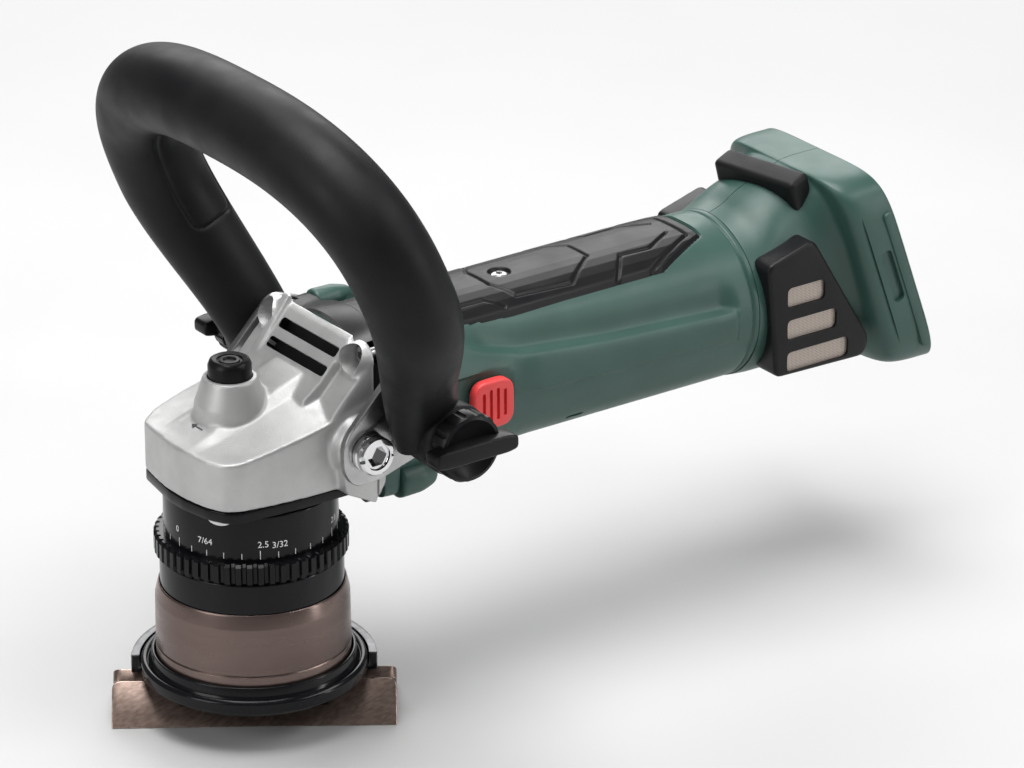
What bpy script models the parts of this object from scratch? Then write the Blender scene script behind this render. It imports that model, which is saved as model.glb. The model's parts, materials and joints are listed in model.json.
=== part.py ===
"""Cordless bevelling tool: an edge-milling machine with a guide shoe, a depth ring and a bow handle.

Every size below is in millimetres, in the spindle frame: the spindle axis is the line x = 0, y = 0,
z = 0 is the plane the guide rails rest on, +X runs back along the motor to the battery foot and
+Z is up. One empty carries that frame, so that the origin of the scene is the bottom centre of
the whole tool. Objects are made in metres.
"""
import math

import bmesh
import bpy
from mathutils import Vector

MM = 0.001
GAP = 0.3                    # clearance left between neighbouring solids

# guide shoe
RAIL_LENGTH = 100.0
RAIL_FOOT = 17.3             # distance of a rail's outer bottom edge from the middle plane
RAIL_THICKNESS = 4.5
RAIL_TOP = 12.5              # height of a rail's outer top edge; the rails slope at 45 degrees
RAIL_TURN = -34.3            # how far the shoe is turned about the spindle, in degrees
CUTTER_HOLE = 13.6
FLANGE_BOTTOM = 15.7
FLANGE_TOP = 20.1
LIP_TOP = 24.0
SADDLE_LENGTH = 52.0
SADDLE_REACH = 12.0
GUARD_WALL = 3.0

# guide sleeve, fixed neck and depth ring
SLEEVE_RADIUS = 34.0
FLANGE_RADIUS = SLEEVE_RADIUS + 6.0
SLEEVE_WALL = 1.4
SLEEVE_TOP = 50.3            # lip of the sleeve at its deepest setting but one
NECK_TOP_RADIUS = SLEEVE_RADIUS - 5.8
NECK_WALL = 3.0
NECK_BOTTOM = 30.0
RING_BOTTOM = 61.8
RING_RADIUS = SLEEVE_RADIUS + 0.1
RING_HEIGHT = 8.0
RING_TEETH = 24
SCALE_RADIUS = SLEEVE_RADIUS - 3.4
INDEX_WIDTH = 8.8

# milling spindle
SPINDLE_RADIUS = 6.0
HEAD_RADIUS = 11.4
HEAD_BOTTOM = 9.4
HEAD_HEIGHT = 15.0
INSERT_COUNT = 3
INSERT_SIZE = 6.0
GEAR_RADIUS = 19.5
GEAR_TEETH = 16
LOCK_RADIUS = 13.0           # distance of the lock pin from the spindle axis
LOCK_HOLE = 2.7
LOCK_PIN = 2.2

# gear housing and motor housing
AXIS_HEIGHT = 109.0
PLATE_BOTTOM = AXIS_HEIGHT - 22.4
PLATE_THICKNESS = 4.1
BODY_RADIUS = 31.0
HOUSING_HALF_WIDTH = BODY_RADIUS + 0.5
FLANGE_START = HOUSING_HALF_WIDTH - 0.5   # where the housing steps down to its rear flange
HOUSING_END = FLANGE_START + 12.2
COLLAR_RADIUS = BODY_RADIUS + 3.2
BODY_WALL = 3.0
BODY_END = 198.9
PAD_THICKNESS = 2.0
PAD_HALF_ANGLE = 38.0
PAD_SCREW_X = 106.5
BUTTON_X = -7.3
BUTTON_RADIUS = 7.7
BOSS_TOP = AXIS_HEIGHT + 19.6
BUTTON_TOP = BOSS_TOP + 6.4
BOSS_RADIUS = 9.2
SWITCH_X = 79.5
SWITCH_LENGTH = 17.0
SWITCH_HEIGHT = 18.0
SWITCH_Z = AXIS_HEIGHT - 1.5
SWITCH_TRAVEL = 6.0

# motor
SHAFT_RADIUS = 4.0
STATOR_RADIUS = BODY_RADIUS - BODY_WALL - 0.6
STATOR_BORE = STATOR_RADIUS - 7.4
MOTOR_START = 80.0
MOTOR_LENGTH = 66.0
FAN_RADIUS = STATOR_RADIUS - 3.4

# bow handle
PIVOT_X = HOUSING_END + 0.5
PIVOT_Z = AXIS_HEIGHT + 4.2
BOW_LEAN = 22.4              # degrees that the bow leans forward over the gear housing
BOW_OFFSET = -2.8            # the bow's middle line lies this far in front of its pivot
BOW_STRAIGHT = 67.5
BOW_ARCH = 52.5
BOW_ARCH_POWER = 0.75        # below 1, the arch is squarer than a half ellipse
BOW_LEG_SHARE = 0.37         # share of the bow's course that each leg takes
BOW_RADIUS = 15.9
BOW_SIDES = 12
LEG_HALF_THICKNESS = 9.5     # half of the leg's thickness across the tool, at its foot
LEG_HALF_DEPTH = 13.5        # half of the leg's depth along the tool, at its foot
HUB_RADIUS = 12.0
HUB_INNER = COLLAR_RADIUS + 6.8
HUB_OUTER = HUB_INNER + 24.0
BOW_HALF_WIDTH = HUB_OUTER + 12.5
BOW_FOOT = HUB_INNER + 10.0
BRACKET_PLATE = 3.0
BOLT_X = 22.5
BOLT_Z = AXIS_HEIGHT - 2.5
BOLT_HEAD = 7.0
BOLT_SHANK = 5.0
STUD_RADIUS = 4.0
KNOB_RADIUS = 12.5
KNOB_HEIGHT = 8.0

# rear housing and battery foot
FOOT_TILT = 19.4
FOOT_HALF_WIDTH = 38.0
FOOT_HALF_HEIGHT = 42.5
FOOT_X = BODY_END + 65.1
FOOT_Z = AXIS_HEIGHT + 4.5
FOOT_DEPTH = 17.0
REAR_WALL = 3.0
RAIL_SLOT = 56.0             # mouth of the battery slot between the two rails
RAIL_UNDERCUT = 3.0
RAIL_LIP = 3.0
SLOT_DEPTH = 9.5

EPS = 0.01
WELD = 5e-7                  # metres: doubled corners that an exact cut leaves are closer than this
BODY_SEGMENTS = 28
ROUND = 20                   # segments of a middle-sized round
SMALL = 12                   # segments of a screw or a hole
CUTTER_PHASE = 0.31          # keeps a cutter's corners off its target's corners


# ---------------------------------------------------------------- helpers

def clear_scene():
    for item in list(bpy.data.objects):
        bpy.data.objects.remove(item, do_unlink=True)


def material(name, color, roughness, metallic=0.0):
    made = bpy.data.materials.new(name)
    made.use_nodes = True
    shader = made.node_tree.nodes["Principled BSDF"]
    shader.inputs["Base Color"].default_value = (*color, 1.0)
    shader.inputs["Roughness"].default_value = roughness
    shader.inputs["Metallic"].default_value = metallic
    return made


def make_object(name, bm, look, at=(0, 0, 0), turn=(0, 0, 0), sharp=35.0, keep=True):
    """Turn a bmesh in millimetres into an object whose origin is at a point of the spindle frame."""
    bmesh.ops.recalc_face_normals(bm, faces=bm.faces)
    bmesh.ops.scale(bm, vec=(MM, MM, MM), verts=bm.verts)
    mesh = bpy.data.meshes.new(name)
    bm.to_mesh(mesh)
    bm.free()
    mesh.shade_smooth()
    mesh.set_sharp_from_angle(angle=math.radians(sharp))
    if look:
        mesh.materials.append(look)
    made = bpy.data.objects.new(name, mesh)
    made.location = Vector(at) * MM
    made.rotation_euler = [math.radians(a) for a in turn]
    bpy.context.collection.objects.link(made)
    made.parent = FRAME
    if not keep:
        made.hide_render = True
        made.display_type = "WIRE"
    return made


def turned_mesh(profile, segments, phase=0.5):
    """A ring or disc: the closed outline (radius, height) spun about Z."""
    bm = bmesh.new()
    loops = []
    for radius, height in profile:
        if radius < EPS:
            loops.append([bm.verts.new((0, 0, height))])
            continue
        loop = []
        for step in range(segments):
            angle = 2 * math.pi * (step + phase) / segments
            loop.append(bm.verts.new((radius * math.cos(angle), radius * math.sin(angle), height)))
        loops.append(loop)
    pairs = list(zip(loops, loops[1:]))
    if profile[0][0] >= EPS:
        pairs.append((loops[-1], loops[0]))
    for low, high in pairs:
        for step in range(segments):
            following = (step + 1) % segments
            corners = [low[step % len(low)], low[following % len(low)],
                       high[following % len(high)], high[step % len(high)]]
            unique = list(dict.fromkeys(corners))
            if len(unique) > 2:
                bm.faces.new(unique)
    return bm


def turned(name, profile, look, at=(0, 0, 0), turn=(0, 0, 0), segments=BODY_SEGMENTS, keep=True):
    phase = 0.5 if keep else CUTTER_PHASE
    return make_object(name, turned_mesh(profile, segments, phase), look, at, turn, keep=keep)


def disc(low, high, radius):
    return [(0, low), (radius, low), (radius, high), (0, high)]


def tube(low, high, inner, outer):
    return [(inner, low), (outer, low), (outer, high), (inner, high)]


def prism_mesh(outline, low, high, axis="Z"):
    """An outline of (a, b) points, extruded along an axis from low to high."""
    order = {"Z": lambda a, b, h: (a, b, h), "Y": lambda a, b, h: (a, h, b),
             "X": lambda a, b, h: (h, a, b)}[axis]
    bm = bmesh.new()
    bottom = [bm.verts.new(order(a, b, low)) for a, b in outline]
    top = [bm.verts.new(order(a, b, high)) for a, b in outline]
    bm.faces.new(bottom)
    bm.faces.new(top)
    count = len(outline)
    for step in range(count):
        bm.faces.new([bottom[step], bottom[(step + 1) % count], top[(step + 1) % count], top[step]])
    return bm


def prism(name, outline, low, high, look, axis="Z", at=(0, 0, 0), turn=(0, 0, 0), keep=True):
    return make_object(name, prism_mesh(outline, low, high, axis), look, at, turn, keep=keep)


def box_cutter(low, high, at=(0, 0, 0), turn=(0, 0, 0)):
    outline = [(low[0], low[1]), (high[0], low[1]), (high[0], high[1]), (low[0], high[1])]
    return prism("cutter_box", outline, low[2], high[2], None, "Z", at, turn, keep=False)


def rod_cutter(low, high, radius, at=(0, 0, 0), turn=(0, 0, 0), segments=ROUND):
    return turned("cutter_rod", disc(low, high, radius), None, at, turn, segments, keep=False)


def rounded_outline(half_a, half_b, corner, steps=4, centre=(0, 0)):
    points = []
    for quarter in range(4):
        side_a = (1, -1, -1, 1)[quarter]
        side_b = (1, 1, -1, -1)[quarter]
        for step in range(steps + 1):
            angle = math.pi / 2 * (quarter + step / steps)
            points.append((centre[0] + side_a * (half_a - corner) + corner * math.cos(angle),
                           centre[1] + side_b * (half_b - corner) + corner * math.sin(angle)))
    return points


def star_outline(outer, inner, teeth):
    points = []
    for tooth in range(teeth):
        for part, radius in ((-0.3, inner), (-0.2, outer), (0.2, outer), (0.3, inner)):
            angle = 2 * math.pi * (tooth + part) / teeth
            points.append((radius * math.cos(angle), radius * math.sin(angle)))
    return points


def loft_mesh(sections):
    """A closed skin over sections with the same number of points."""
    bm = bmesh.new()
    loops = [[bm.verts.new(point) for point in section] for section in sections]
    for low, high in zip(loops, loops[1:]):
        for step in range(len(low)):
            following = (step + 1) % len(low)
            bm.faces.new([low[step], low[following], high[following], high[step]])
    bm.faces.new(loops[0])
    bm.faces.new(loops[-1])
    return bm


def combine(target, other, operation):
    """Apply an exact Boolean to the target's own mesh, in world space, and drop the other solid."""
    bpy.context.view_layer.update()
    modifier = target.modifiers.new("shape", "BOOLEAN")
    modifier.operation = operation
    modifier.solver = "EXACT"
    modifier.object = other
    graph = bpy.context.evaluated_depsgraph_get()
    made = bpy.data.meshes.new_from_object(target.evaluated_get(graph))
    target.modifiers.remove(modifier)
    bm = bmesh.new()
    bm.from_mesh(made)
    bmesh.ops.remove_doubles(bm, verts=bm.verts, dist=WELD)
    bmesh.ops.dissolve_degenerate(bm, edges=bm.edges, dist=WELD)
    bm.to_mesh(made)
    bm.free()
    target.data = made
    made.set_sharp_from_angle(angle=math.radians(35.0))
    bpy.data.objects.remove(other, do_unlink=True)


def cut(target, *cutters):
    for cutter in cutters:
        combine(target, cutter, "DIFFERENCE")


def fuse(target, *others):
    for other in others:
        combine(target, other, "UNION")


ALONG_X = (0, 90, 0)         # turns a piece spun about Z onto +X
ALONG_Y = (-90, 0, 0)        # turns a piece spun about Z onto +Y


# ---------------------------------------------------------------- guide shoe

def rail_outline():
    """Half of the cross-section of the inverted V, as (distance from the middle plane, height)."""
    slope = RAIL_THICKNESS / math.sqrt(2)
    foot_inner = RAIL_FOOT - RAIL_THICKNESS * math.sqrt(2)
    top = RAIL_FOOT - RAIL_TOP
    return [(RAIL_FOOT, 0.0), (top, RAIL_TOP), (top - slope, RAIL_TOP - slope), (foot_inner, 0.0)]


def make_rail(name, side, look):
    outline = [(side * w, z) for w, z in rail_outline()]
    half = RAIL_LENGTH / 2
    rail = prism(name, outline, -half, half, look, "X", turn=(0, 0, RAIL_TURN))
    cut(rail, rod_cutter(-5, 30, CUTTER_HOLE))
    return rail


def make_shoe_flange(look):
    sleeve = SLEEVE_RADIUS + 0.5 + GAP
    low = RAIL_TOP + 0.7
    profile = [(CUTTER_HOLE + 2, low), (FLANGE_RADIUS - 4, low), (FLANGE_RADIUS - 2, FLANGE_BOTTOM),
               (FLANGE_RADIUS, FLANGE_BOTTOM), (FLANGE_RADIUS, FLANGE_TOP),
               (FLANGE_RADIUS - 1.4, FLANGE_TOP + 0.9), (sleeve + 1.8, FLANGE_TOP + 1.2),
               (sleeve + 1.2, LIP_TOP), (sleeve, LIP_TOP), (sleeve, low + 2.8),
               (CUTTER_HOLE + 2, low + 2.8)]
    flange = turned("shoe_flange", profile, look, turn=(0, 0, RAIL_TURN))
    outer = RAIL_FOOT + GAP * math.sqrt(2)
    top = RAIL_TOP - (RAIL_FOOT - RAIL_TOP) + GAP * math.sqrt(2)
    peak = (outer - top) / 2
    rib = 1.7
    half = [(SADDLE_REACH, low + 1), (SADDLE_REACH, outer - SADDLE_REACH), (peak, outer - peak),
            (rib, top + rib)]
    outline = half + [(-w, z) for w, z in reversed(half)]
    saddle = prism("saddle", outline, -SADDLE_LENGTH / 2, SADDLE_LENGTH / 2, look, "X",
                   turn=(0, 0, RAIL_TURN))
    fuse(flange, saddle)
    cut(flange, rod_cutter(-5, 30, CUTTER_HOLE + 2))
    return flange


def make_chip_guard(look):
    inner = FLANGE_RADIUS + GAP
    outer = inner + GUARD_WALL
    low = RAIL_TOP + 0.7
    profile = [(inner - 1.9, low), (outer, low), (outer, FLANGE_TOP), (inner, FLANGE_TOP),
               (inner, FLANGE_BOTTOM - GAP), (inner - 1.9, FLANGE_BOTTOM - GAP)]
    guard = turned("chip_guard", profile, look, turn=(0, 0, RAIL_TURN))
    cut(guard, box_cutter((-60, -60, -5), (60, 0, 40), turn=(0, 0, RAIL_TURN)))
    return guard


def rail_screw_places():
    """Each rail screw: its place along the rail, its side and its number."""
    number = 0
    for side in (-1, 1):
        for along in (-19.0, 19.0):
            number += 1
            yield number, side, along


def make_rail_screws(rails, flange, look):
    """Countersunk screws from the inner face of each rail up into the saddle, square to the slope."""
    for number, side, along in rail_screw_places():
        distance = 8.0
        height = RAIL_FOOT - RAIL_THICKNESS * math.sqrt(2) - distance
        turn = math.radians(RAIL_TURN)
        at = (along * math.cos(turn) - side * distance * math.sin(turn),
              along * math.sin(turn) + side * distance * math.cos(turn), height)
        tilt = (-side * 45, 0, RAIL_TURN)
        length = RAIL_THICKNESS + 3.2
        profile = [(0, 0.3), (2.9, 0.3), (1.5, 1.7), (1.5, length), (0, length)]
        hole = [(0, -4), (3.2, -4), (3.2, 0.3), (1.8, 1.9), (1.8, length + GAP), (0, length + GAP)]
        turned(f"rail_screw_{number}", profile, look, at, tilt, SMALL)
        rail = rails[0] if side < 0 else rails[1]
        for target in (rail, flange):
            cut(target, turned("cutter_screw", hole, None, at, tilt, SMALL, keep=False))


def make_shoe(looks):
    rails = [make_rail("guide_rail_front", -1, looks["bronze"]),
             make_rail("guide_rail_rear", 1, looks["bronze"])]
    flange = make_shoe_flange(looks["black_metal"])
    make_chip_guard(looks["black_metal"])
    make_rail_screws(rails, flange, looks["steel"])


# ---------------------------------------------------------------- sleeve, neck and depth ring

def make_sleeve(look):
    inner = SLEEVE_RADIUS - SLEEVE_WALL
    low = RAIL_TOP + 0.7 + 2.8 + GAP
    profile = [(inner, low), (SLEEVE_RADIUS + 0.5, low), (SLEEVE_RADIUS + 0.5, low + 11),
               (SLEEVE_RADIUS, SLEEVE_TOP - 3), (SLEEVE_RADIUS - 0.8, SLEEVE_TOP), (inner, SLEEVE_TOP)]
    turned("guide_sleeve", profile, look)


def make_neck(look):
    wide = SLEEVE_RADIUS - SLEEVE_WALL - GAP
    step = RING_BOTTOM - GAP
    inner = NECK_TOP_RADIUS - NECK_WALL
    profile = [(inner, NECK_BOTTOM), (wide, NECK_BOTTOM), (wide, step), (NECK_TOP_RADIUS, step),
               (NECK_TOP_RADIUS, PLATE_BOTTOM - GAP), (inner, PLATE_BOTTOM - GAP)]
    turned("guide_neck", profile, look)


def make_depth_ring(look):
    """The knurled grip with the scale drum above it, in one piece."""
    inner = NECK_TOP_RADIUS + GAP
    knurl_top = RING_BOTTOM + RING_HEIGHT
    ring = turned("depth_ring", tube(RING_BOTTOM, PLATE_BOTTOM - GAP, inner, SCALE_RADIUS), look)
    grip = prism("knurl", star_outline(RING_RADIUS, RING_RADIUS - 0.8, RING_TEETH), RING_BOTTOM,
                 knurl_top, look)
    cut(grip, rod_cutter(RING_BOTTOM - 5, knurl_top + 5, (inner + SCALE_RADIUS) / 2,
                         segments=BODY_SEGMENTS))
    fuse(ring, grip)


def make_cover_plate(look, mark):
    outline = rounded_outline(HOUSING_HALF_WIDTH - 1, HOUSING_HALF_WIDTH - 1, 9)
    plate = prism("cover_plate", outline, PLATE_BOTTOM, PLATE_BOTTOM + PLATE_THICKNESS, look)
    cut(plate, rod_cutter(PLATE_BOTTOM - 20, PLATE_BOTTOM + 20, 13.3, segments=ROUND))
    half = INDEX_WIDTH / 2
    angle = -142.6
    start = SCALE_RADIUS + GAP
    arc = [(half * math.cos(math.radians(a)), half * 0.6 * math.sin(math.radians(a)))
           for a in range(180, 361, 20)]
    prism("index_mark", arc, start, start + 1.2, mark, "X", at=(0, 0, PLATE_BOTTOM - GAP),
          turn=(0, 0, angle))


# ---------------------------------------------------------------- spindle

def make_milling_head(look, insert_look, screw_look):
    profile = [(0, HEAD_BOTTOM), (HEAD_RADIUS - 1, HEAD_BOTTOM), (HEAD_RADIUS, HEAD_BOTTOM + 1),
               (HEAD_RADIUS, HEAD_BOTTOM + HEAD_HEIGHT), (0, HEAD_BOTTOM + HEAD_HEIGHT)]
    head = turned("milling_head", profile, look, segments=ROUND)
    size = INSERT_SIZE
    for number in range(INSERT_COUNT):
        angle = 360 * number / INSERT_COUNT
        grow = GAP
        low = (HEAD_RADIUS - size + 1.0, -1.5, HEAD_BOTTOM - 1.0)
        high = (HEAD_RADIUS + 1.0, 1.0, HEAD_BOTTOM - 1.0 + size)
        pocket = box_cutter((low[0] - grow, low[1] - grow, low[2] - 3),
                            (high[0] + 9, high[1] + 4, high[2] + grow), turn=(0, 0, angle))
        cut(head, pocket)
        outline = [(low[0], low[1]), (high[0], low[1]), (high[0], high[1]), (low[0], high[1])]
        prism(f"cutting_insert_{number + 1}", outline, low[2], high[2], insert_look,
              turn=(0, 0, angle))
    cut(head, rod_cutter(HEAD_BOTTOM - 3, HEAD_BOTTOM + HEAD_HEIGHT + 5, 3.0 + GAP),
        rod_cutter(HEAD_BOTTOM - 3, HEAD_BOTTOM + 3.3, 4.2 + GAP))
    screw_top = HEAD_BOTTOM + HEAD_HEIGHT + 6
    turned("cutter_screw", [(0, HEAD_BOTTOM + 0.4), (4.2, HEAD_BOTTOM + 0.4), (4.2, HEAD_BOTTOM + 2.3),
                            (3.0, HEAD_BOTTOM + 2.9), (3.0, screw_top), (0, screw_top)],
           screw_look, segments=ROUND)
    return screw_top


def make_spindle(screw_top, look):
    low = HEAD_BOTTOM + HEAD_HEIGHT + GAP
    top = AXIS_HEIGHT + 7.5
    gear_seat = AXIS_HEIGHT - 15.0
    profile = [(0, low), (9, low), (9, 40), (SPINDLE_RADIUS + 2, 44), (SPINDLE_RADIUS + 2, gear_seat),
               (SPINDLE_RADIUS, gear_seat), (SPINDLE_RADIUS, AXIS_HEIGHT - 5.4), (4, AXIS_HEIGHT - 5.4),
               (4, top), (0, top)]
    spindle = turned("spindle", profile, look, segments=ROUND)
    cut(spindle, rod_cutter(low - 3, screw_top + 1, 3.0 + GAP))


def make_crown_gear(look):
    low = AXIS_HEIGHT - 14.7
    web = AXIS_HEIGHT - 10.5
    gear = prism("crown_gear", star_outline(GEAR_RADIUS, GEAR_RADIUS - 1.1, GEAR_TEETH), low,
                 AXIS_HEIGHT - 6.2, look)
    bowl = [(0, web), (15.6, web), (16.4, AXIS_HEIGHT), (0, AXIS_HEIGHT)]
    cut(gear, turned("cutter_bowl", bowl, None, segments=ROUND, keep=False),
        rod_cutter(low - 5, AXIS_HEIGHT, SPINDLE_RADIUS + GAP))
    for quarter in range(4):
        angle = math.pi / 2 * quarter
        at = (LOCK_RADIUS * math.cos(angle), LOCK_RADIUS * math.sin(angle), 0)
        cut(gear, rod_cutter(low - 5, web + 5, LOCK_HOLE, at, segments=SMALL))
    return web


def make_bearing(name, inner, outer, width, look, at, turn):
    """A sealed ball bearing, both rings, balls and shields as one ring with a chamfered edge."""
    edge = 0.5
    profile = [(inner, 0), (outer - edge, 0), (outer, edge), (outer, width), (inner, width)]
    turned(name, profile, look, at, turn, segments=ROUND)


# ---------------------------------------------------------------- gear housing

def arch_section(x, half, low, shoulder, top, steps=8):
    points = [(x, half, low), (x, half, shoulder)]
    for step in range(1, steps):
        angle = math.pi * step / steps
        points.append((x, half * math.cos(angle), shoulder + (top - shoulder) * math.sin(angle)))
    return points + [(x, -half, shoulder), (x, -half, low)]


def make_gear_housing(look):
    low = PLATE_BOTTOM + PLATE_THICKNESS + GAP
    wide = HOUSING_HALF_WIDTH
    flange_low = AXIS_HEIGHT - wide + 1.0
    stations = [(-wide, wide * 0.6, low, -5, -3), (-wide + 2, wide * 0.76, low, -4.5, 0),
                (-wide + 7, wide * 0.95, low, -5, 3), (-18, wide, low, -6, 5.5),
                (0, wide, low, -7.5, 11.5), (17, wide, low, -7.5, 17.5),
                (24, wide + 0.3, low, -6, 24), (FLANGE_START - 1, wide + 0.7, low, -4, 30),
                (FLANGE_START, wide + 0.8, low, -3.5, 30.8),
                (FLANGE_START + 0.6, wide + 0.8, flange_low, -3, 31.2),
                (FLANGE_START + 5, wide + 1.1, flange_low - 1, -2, COLLAR_RADIUS - 0.2),
                (HOUSING_END, wide + 1.5, flange_low - 1, -1, COLLAR_RADIUS + 0.8)]
    sections = [arch_section(x, half, bottom, AXIS_HEIGHT + shoulder, AXIS_HEIGHT + top)
                for x, half, bottom, shoulder, top in stations]
    housing = make_object("gear_housing", loft_mesh(sections), look)
    boss = [(0, AXIS_HEIGHT - 1), (BOSS_RADIUS + 5, AXIS_HEIGHT - 1), (BOSS_RADIUS + 3.4, BOSS_TOP - 9.6),
            (BOSS_RADIUS, BOSS_TOP), (0, BOSS_TOP)]
    fuse(housing, turned("boss", boss, look, (BUTTON_X, 0, 0), segments=ROUND))
    face = HUB_INNER - GAP - BRACKET_PLATE - GAP
    for side in (-1, 1):
        ear = disc(BODY_RADIUS - 3, face, BOLT_HEAD + 1.2)
        fuse(housing, turned("ear", ear, look, (BOLT_X, 0, BOLT_Z), (-90 * side, 0, 0), ROUND))
    return housing


def hollow_gear_housing(housing):
    """Gear chamber, bearing seats, button bore, bolt holes and the two vent recesses."""
    cut(housing, rod_cutter(60, AXIS_HEIGHT - 2, GEAR_RADIUS + 2.5, segments=ROUND),
        rod_cutter(AXIS_HEIGHT - 5, AXIS_HEIGHT + 8.5, 8.0 + GAP, segments=ROUND),
        rod_cutter(9, 31, 9.5, (0, 0, AXIS_HEIGHT), ALONG_X, ROUND),
        rod_cutter(30, HOUSING_END + 5, 11.0 + GAP, (0, 0, AXIS_HEIGHT), ALONG_X, ROUND),
        rod_cutter(BOSS_TOP - 9, BOSS_TOP + 5, BUTTON_RADIUS + GAP, (BUTTON_X, 0, 0), segments=ROUND),
        rod_cutter(100, BOSS_TOP, LOCK_PIN + GAP, (-LOCK_RADIUS, 0, 0), segments=SMALL))
    for side in (-1, 1):
        cut(housing, rod_cutter(26, 60, BOLT_SHANK + GAP, (BOLT_X, 0, BOLT_Z), (-90 * side, 0, 0)))
    for x, height in ((20.6, 18.0), (28.4, 26.0)):
        cut(housing, box_cutter((-2.6, -18, -3.0), (2.6, 18, 14), (x, 0, AXIS_HEIGHT + height), (0, -40, 0)))


def flange_screw_places():
    """The four screws through the housing's rear flange: number, y and z."""
    number = 0
    reach = COLLAR_RADIUS + 2.9
    for rise in (0.715, -0.687):
        for side in (-1, 1):
            number += 1
            yield number, side * 0.7 * reach, AXIS_HEIGHT + rise * reach


def make_flange_screws(housing, motor, look):
    head_x = FLANGE_START + 1.4
    for number, y, z in flange_screw_places():
        at = (head_x, y, z)
        radius = 3.4
        tip = HOUSING_END + 9 - head_x
        profile = [(0, 0), (2.2, 0), (radius, 1.0), (radius, 2.6), (1.8, 2.6), (1.8, tip), (0, tip)]
        turned(f"flange_screw_{number}", profile, look, at, ALONG_X, SMALL)
        hole = [(0, -20), (radius + 1.2, -20), (radius + 1.2, 2.6 + GAP), (1.8 + GAP, 2.6 + GAP),
                (1.8 + GAP, tip + 0.6), (0, tip + 0.6)]
        for target in (housing, motor):
            cut(target, turned("cutter_hole", hole, None, at, ALONG_X, SMALL, keep=False))


# ---------------------------------------------------------------- motor housing

def make_motor_housing(look):
    start = HOUSING_END + GAP
    inner = BODY_RADIUS - BODY_WALL
    profile = [(inner, start), (COLLAR_RADIUS, start), (COLLAR_RADIUS, 78), (BODY_RADIUS, 96),
               (BODY_RADIUS, BODY_END), (inner, BODY_END)]
    housing = turned("motor_housing", profile, look, (0, 0, AXIS_HEIGHT), ALONG_X)
    for _, y, z in flange_screw_places():
        lug = turned("lug", disc(start, start + 15, 4.6), look, (0, y, z), ALONG_X, SMALL)
        fuse(housing, lug)
    seat = sector_mesh(BODY_RADIUS, BODY_RADIUS + 30, PAD_HALF_ANGLE + 0.6, start - 5, BODY_END - 2.4)
    cut(housing, make_object("cutter_pad", seat, None, (0, 0, AXIS_HEIGHT), keep=False))
    pocket_x = (SWITCH_X - SWITCH_LENGTH / 2 - SWITCH_TRAVEL - 1, SWITCH_X + SWITCH_LENGTH / 2 + 1)
    pocket_z = (SWITCH_Z - SWITCH_HEIGHT / 2 - 1, SWITCH_Z + SWITCH_HEIGHT / 2 + 1)
    cut(housing, box_cutter((pocket_x[0], -60, pocket_z[0]),
                            (pocket_x[1], -BODY_RADIUS + 0.2, pocket_z[1])))
    return housing


def sector_mesh(inner, outer, half_angle, start, end, steps=12):
    """A curved slab about the X axis, centred on +Z."""
    angles = [math.radians(90 + half_angle - 2 * half_angle * step / steps) for step in range(steps + 1)]
    outline = [(outer * math.cos(a), outer * math.sin(a)) for a in angles]
    outline += [(inner * math.cos(a), inner * math.sin(a)) for a in reversed(angles)]
    return prism_mesh(outline, start, end, "X")


def make_top_pad(look, screw_look):
    inner = BODY_RADIUS + GAP
    outer = inner + PAD_THICKNESS
    pad = make_object("top_pad", sector_mesh(inner, outer, PAD_HALF_ANGLE, HOUSING_END + 2 * GAP + 0.4,
                                             BODY_END - 2.9), look, (0, 0, AXIS_HEIGHT))
    at = (PAD_SCREW_X, 0, AXIS_HEIGHT)
    cut(pad, rod_cutter(outer - 1.3, outer + 4, 3.4, at, segments=ROUND))
    turned("pad_screw", disc(outer - 1.0, outer - 0.2, 2.9), screw_look, at, segments=SMALL)


def make_switch(look):
    outline = rounded_outline(SWITCH_LENGTH / 2, SWITCH_HEIGHT / 2, 6.0, 4, (SWITCH_X, SWITCH_Z))
    face = -BODY_RADIUS - 4.2
    prism("slide_switch", outline, face, -BODY_RADIUS - 0.1, look, "Y")


# ---------------------------------------------------------------- motor

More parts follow.
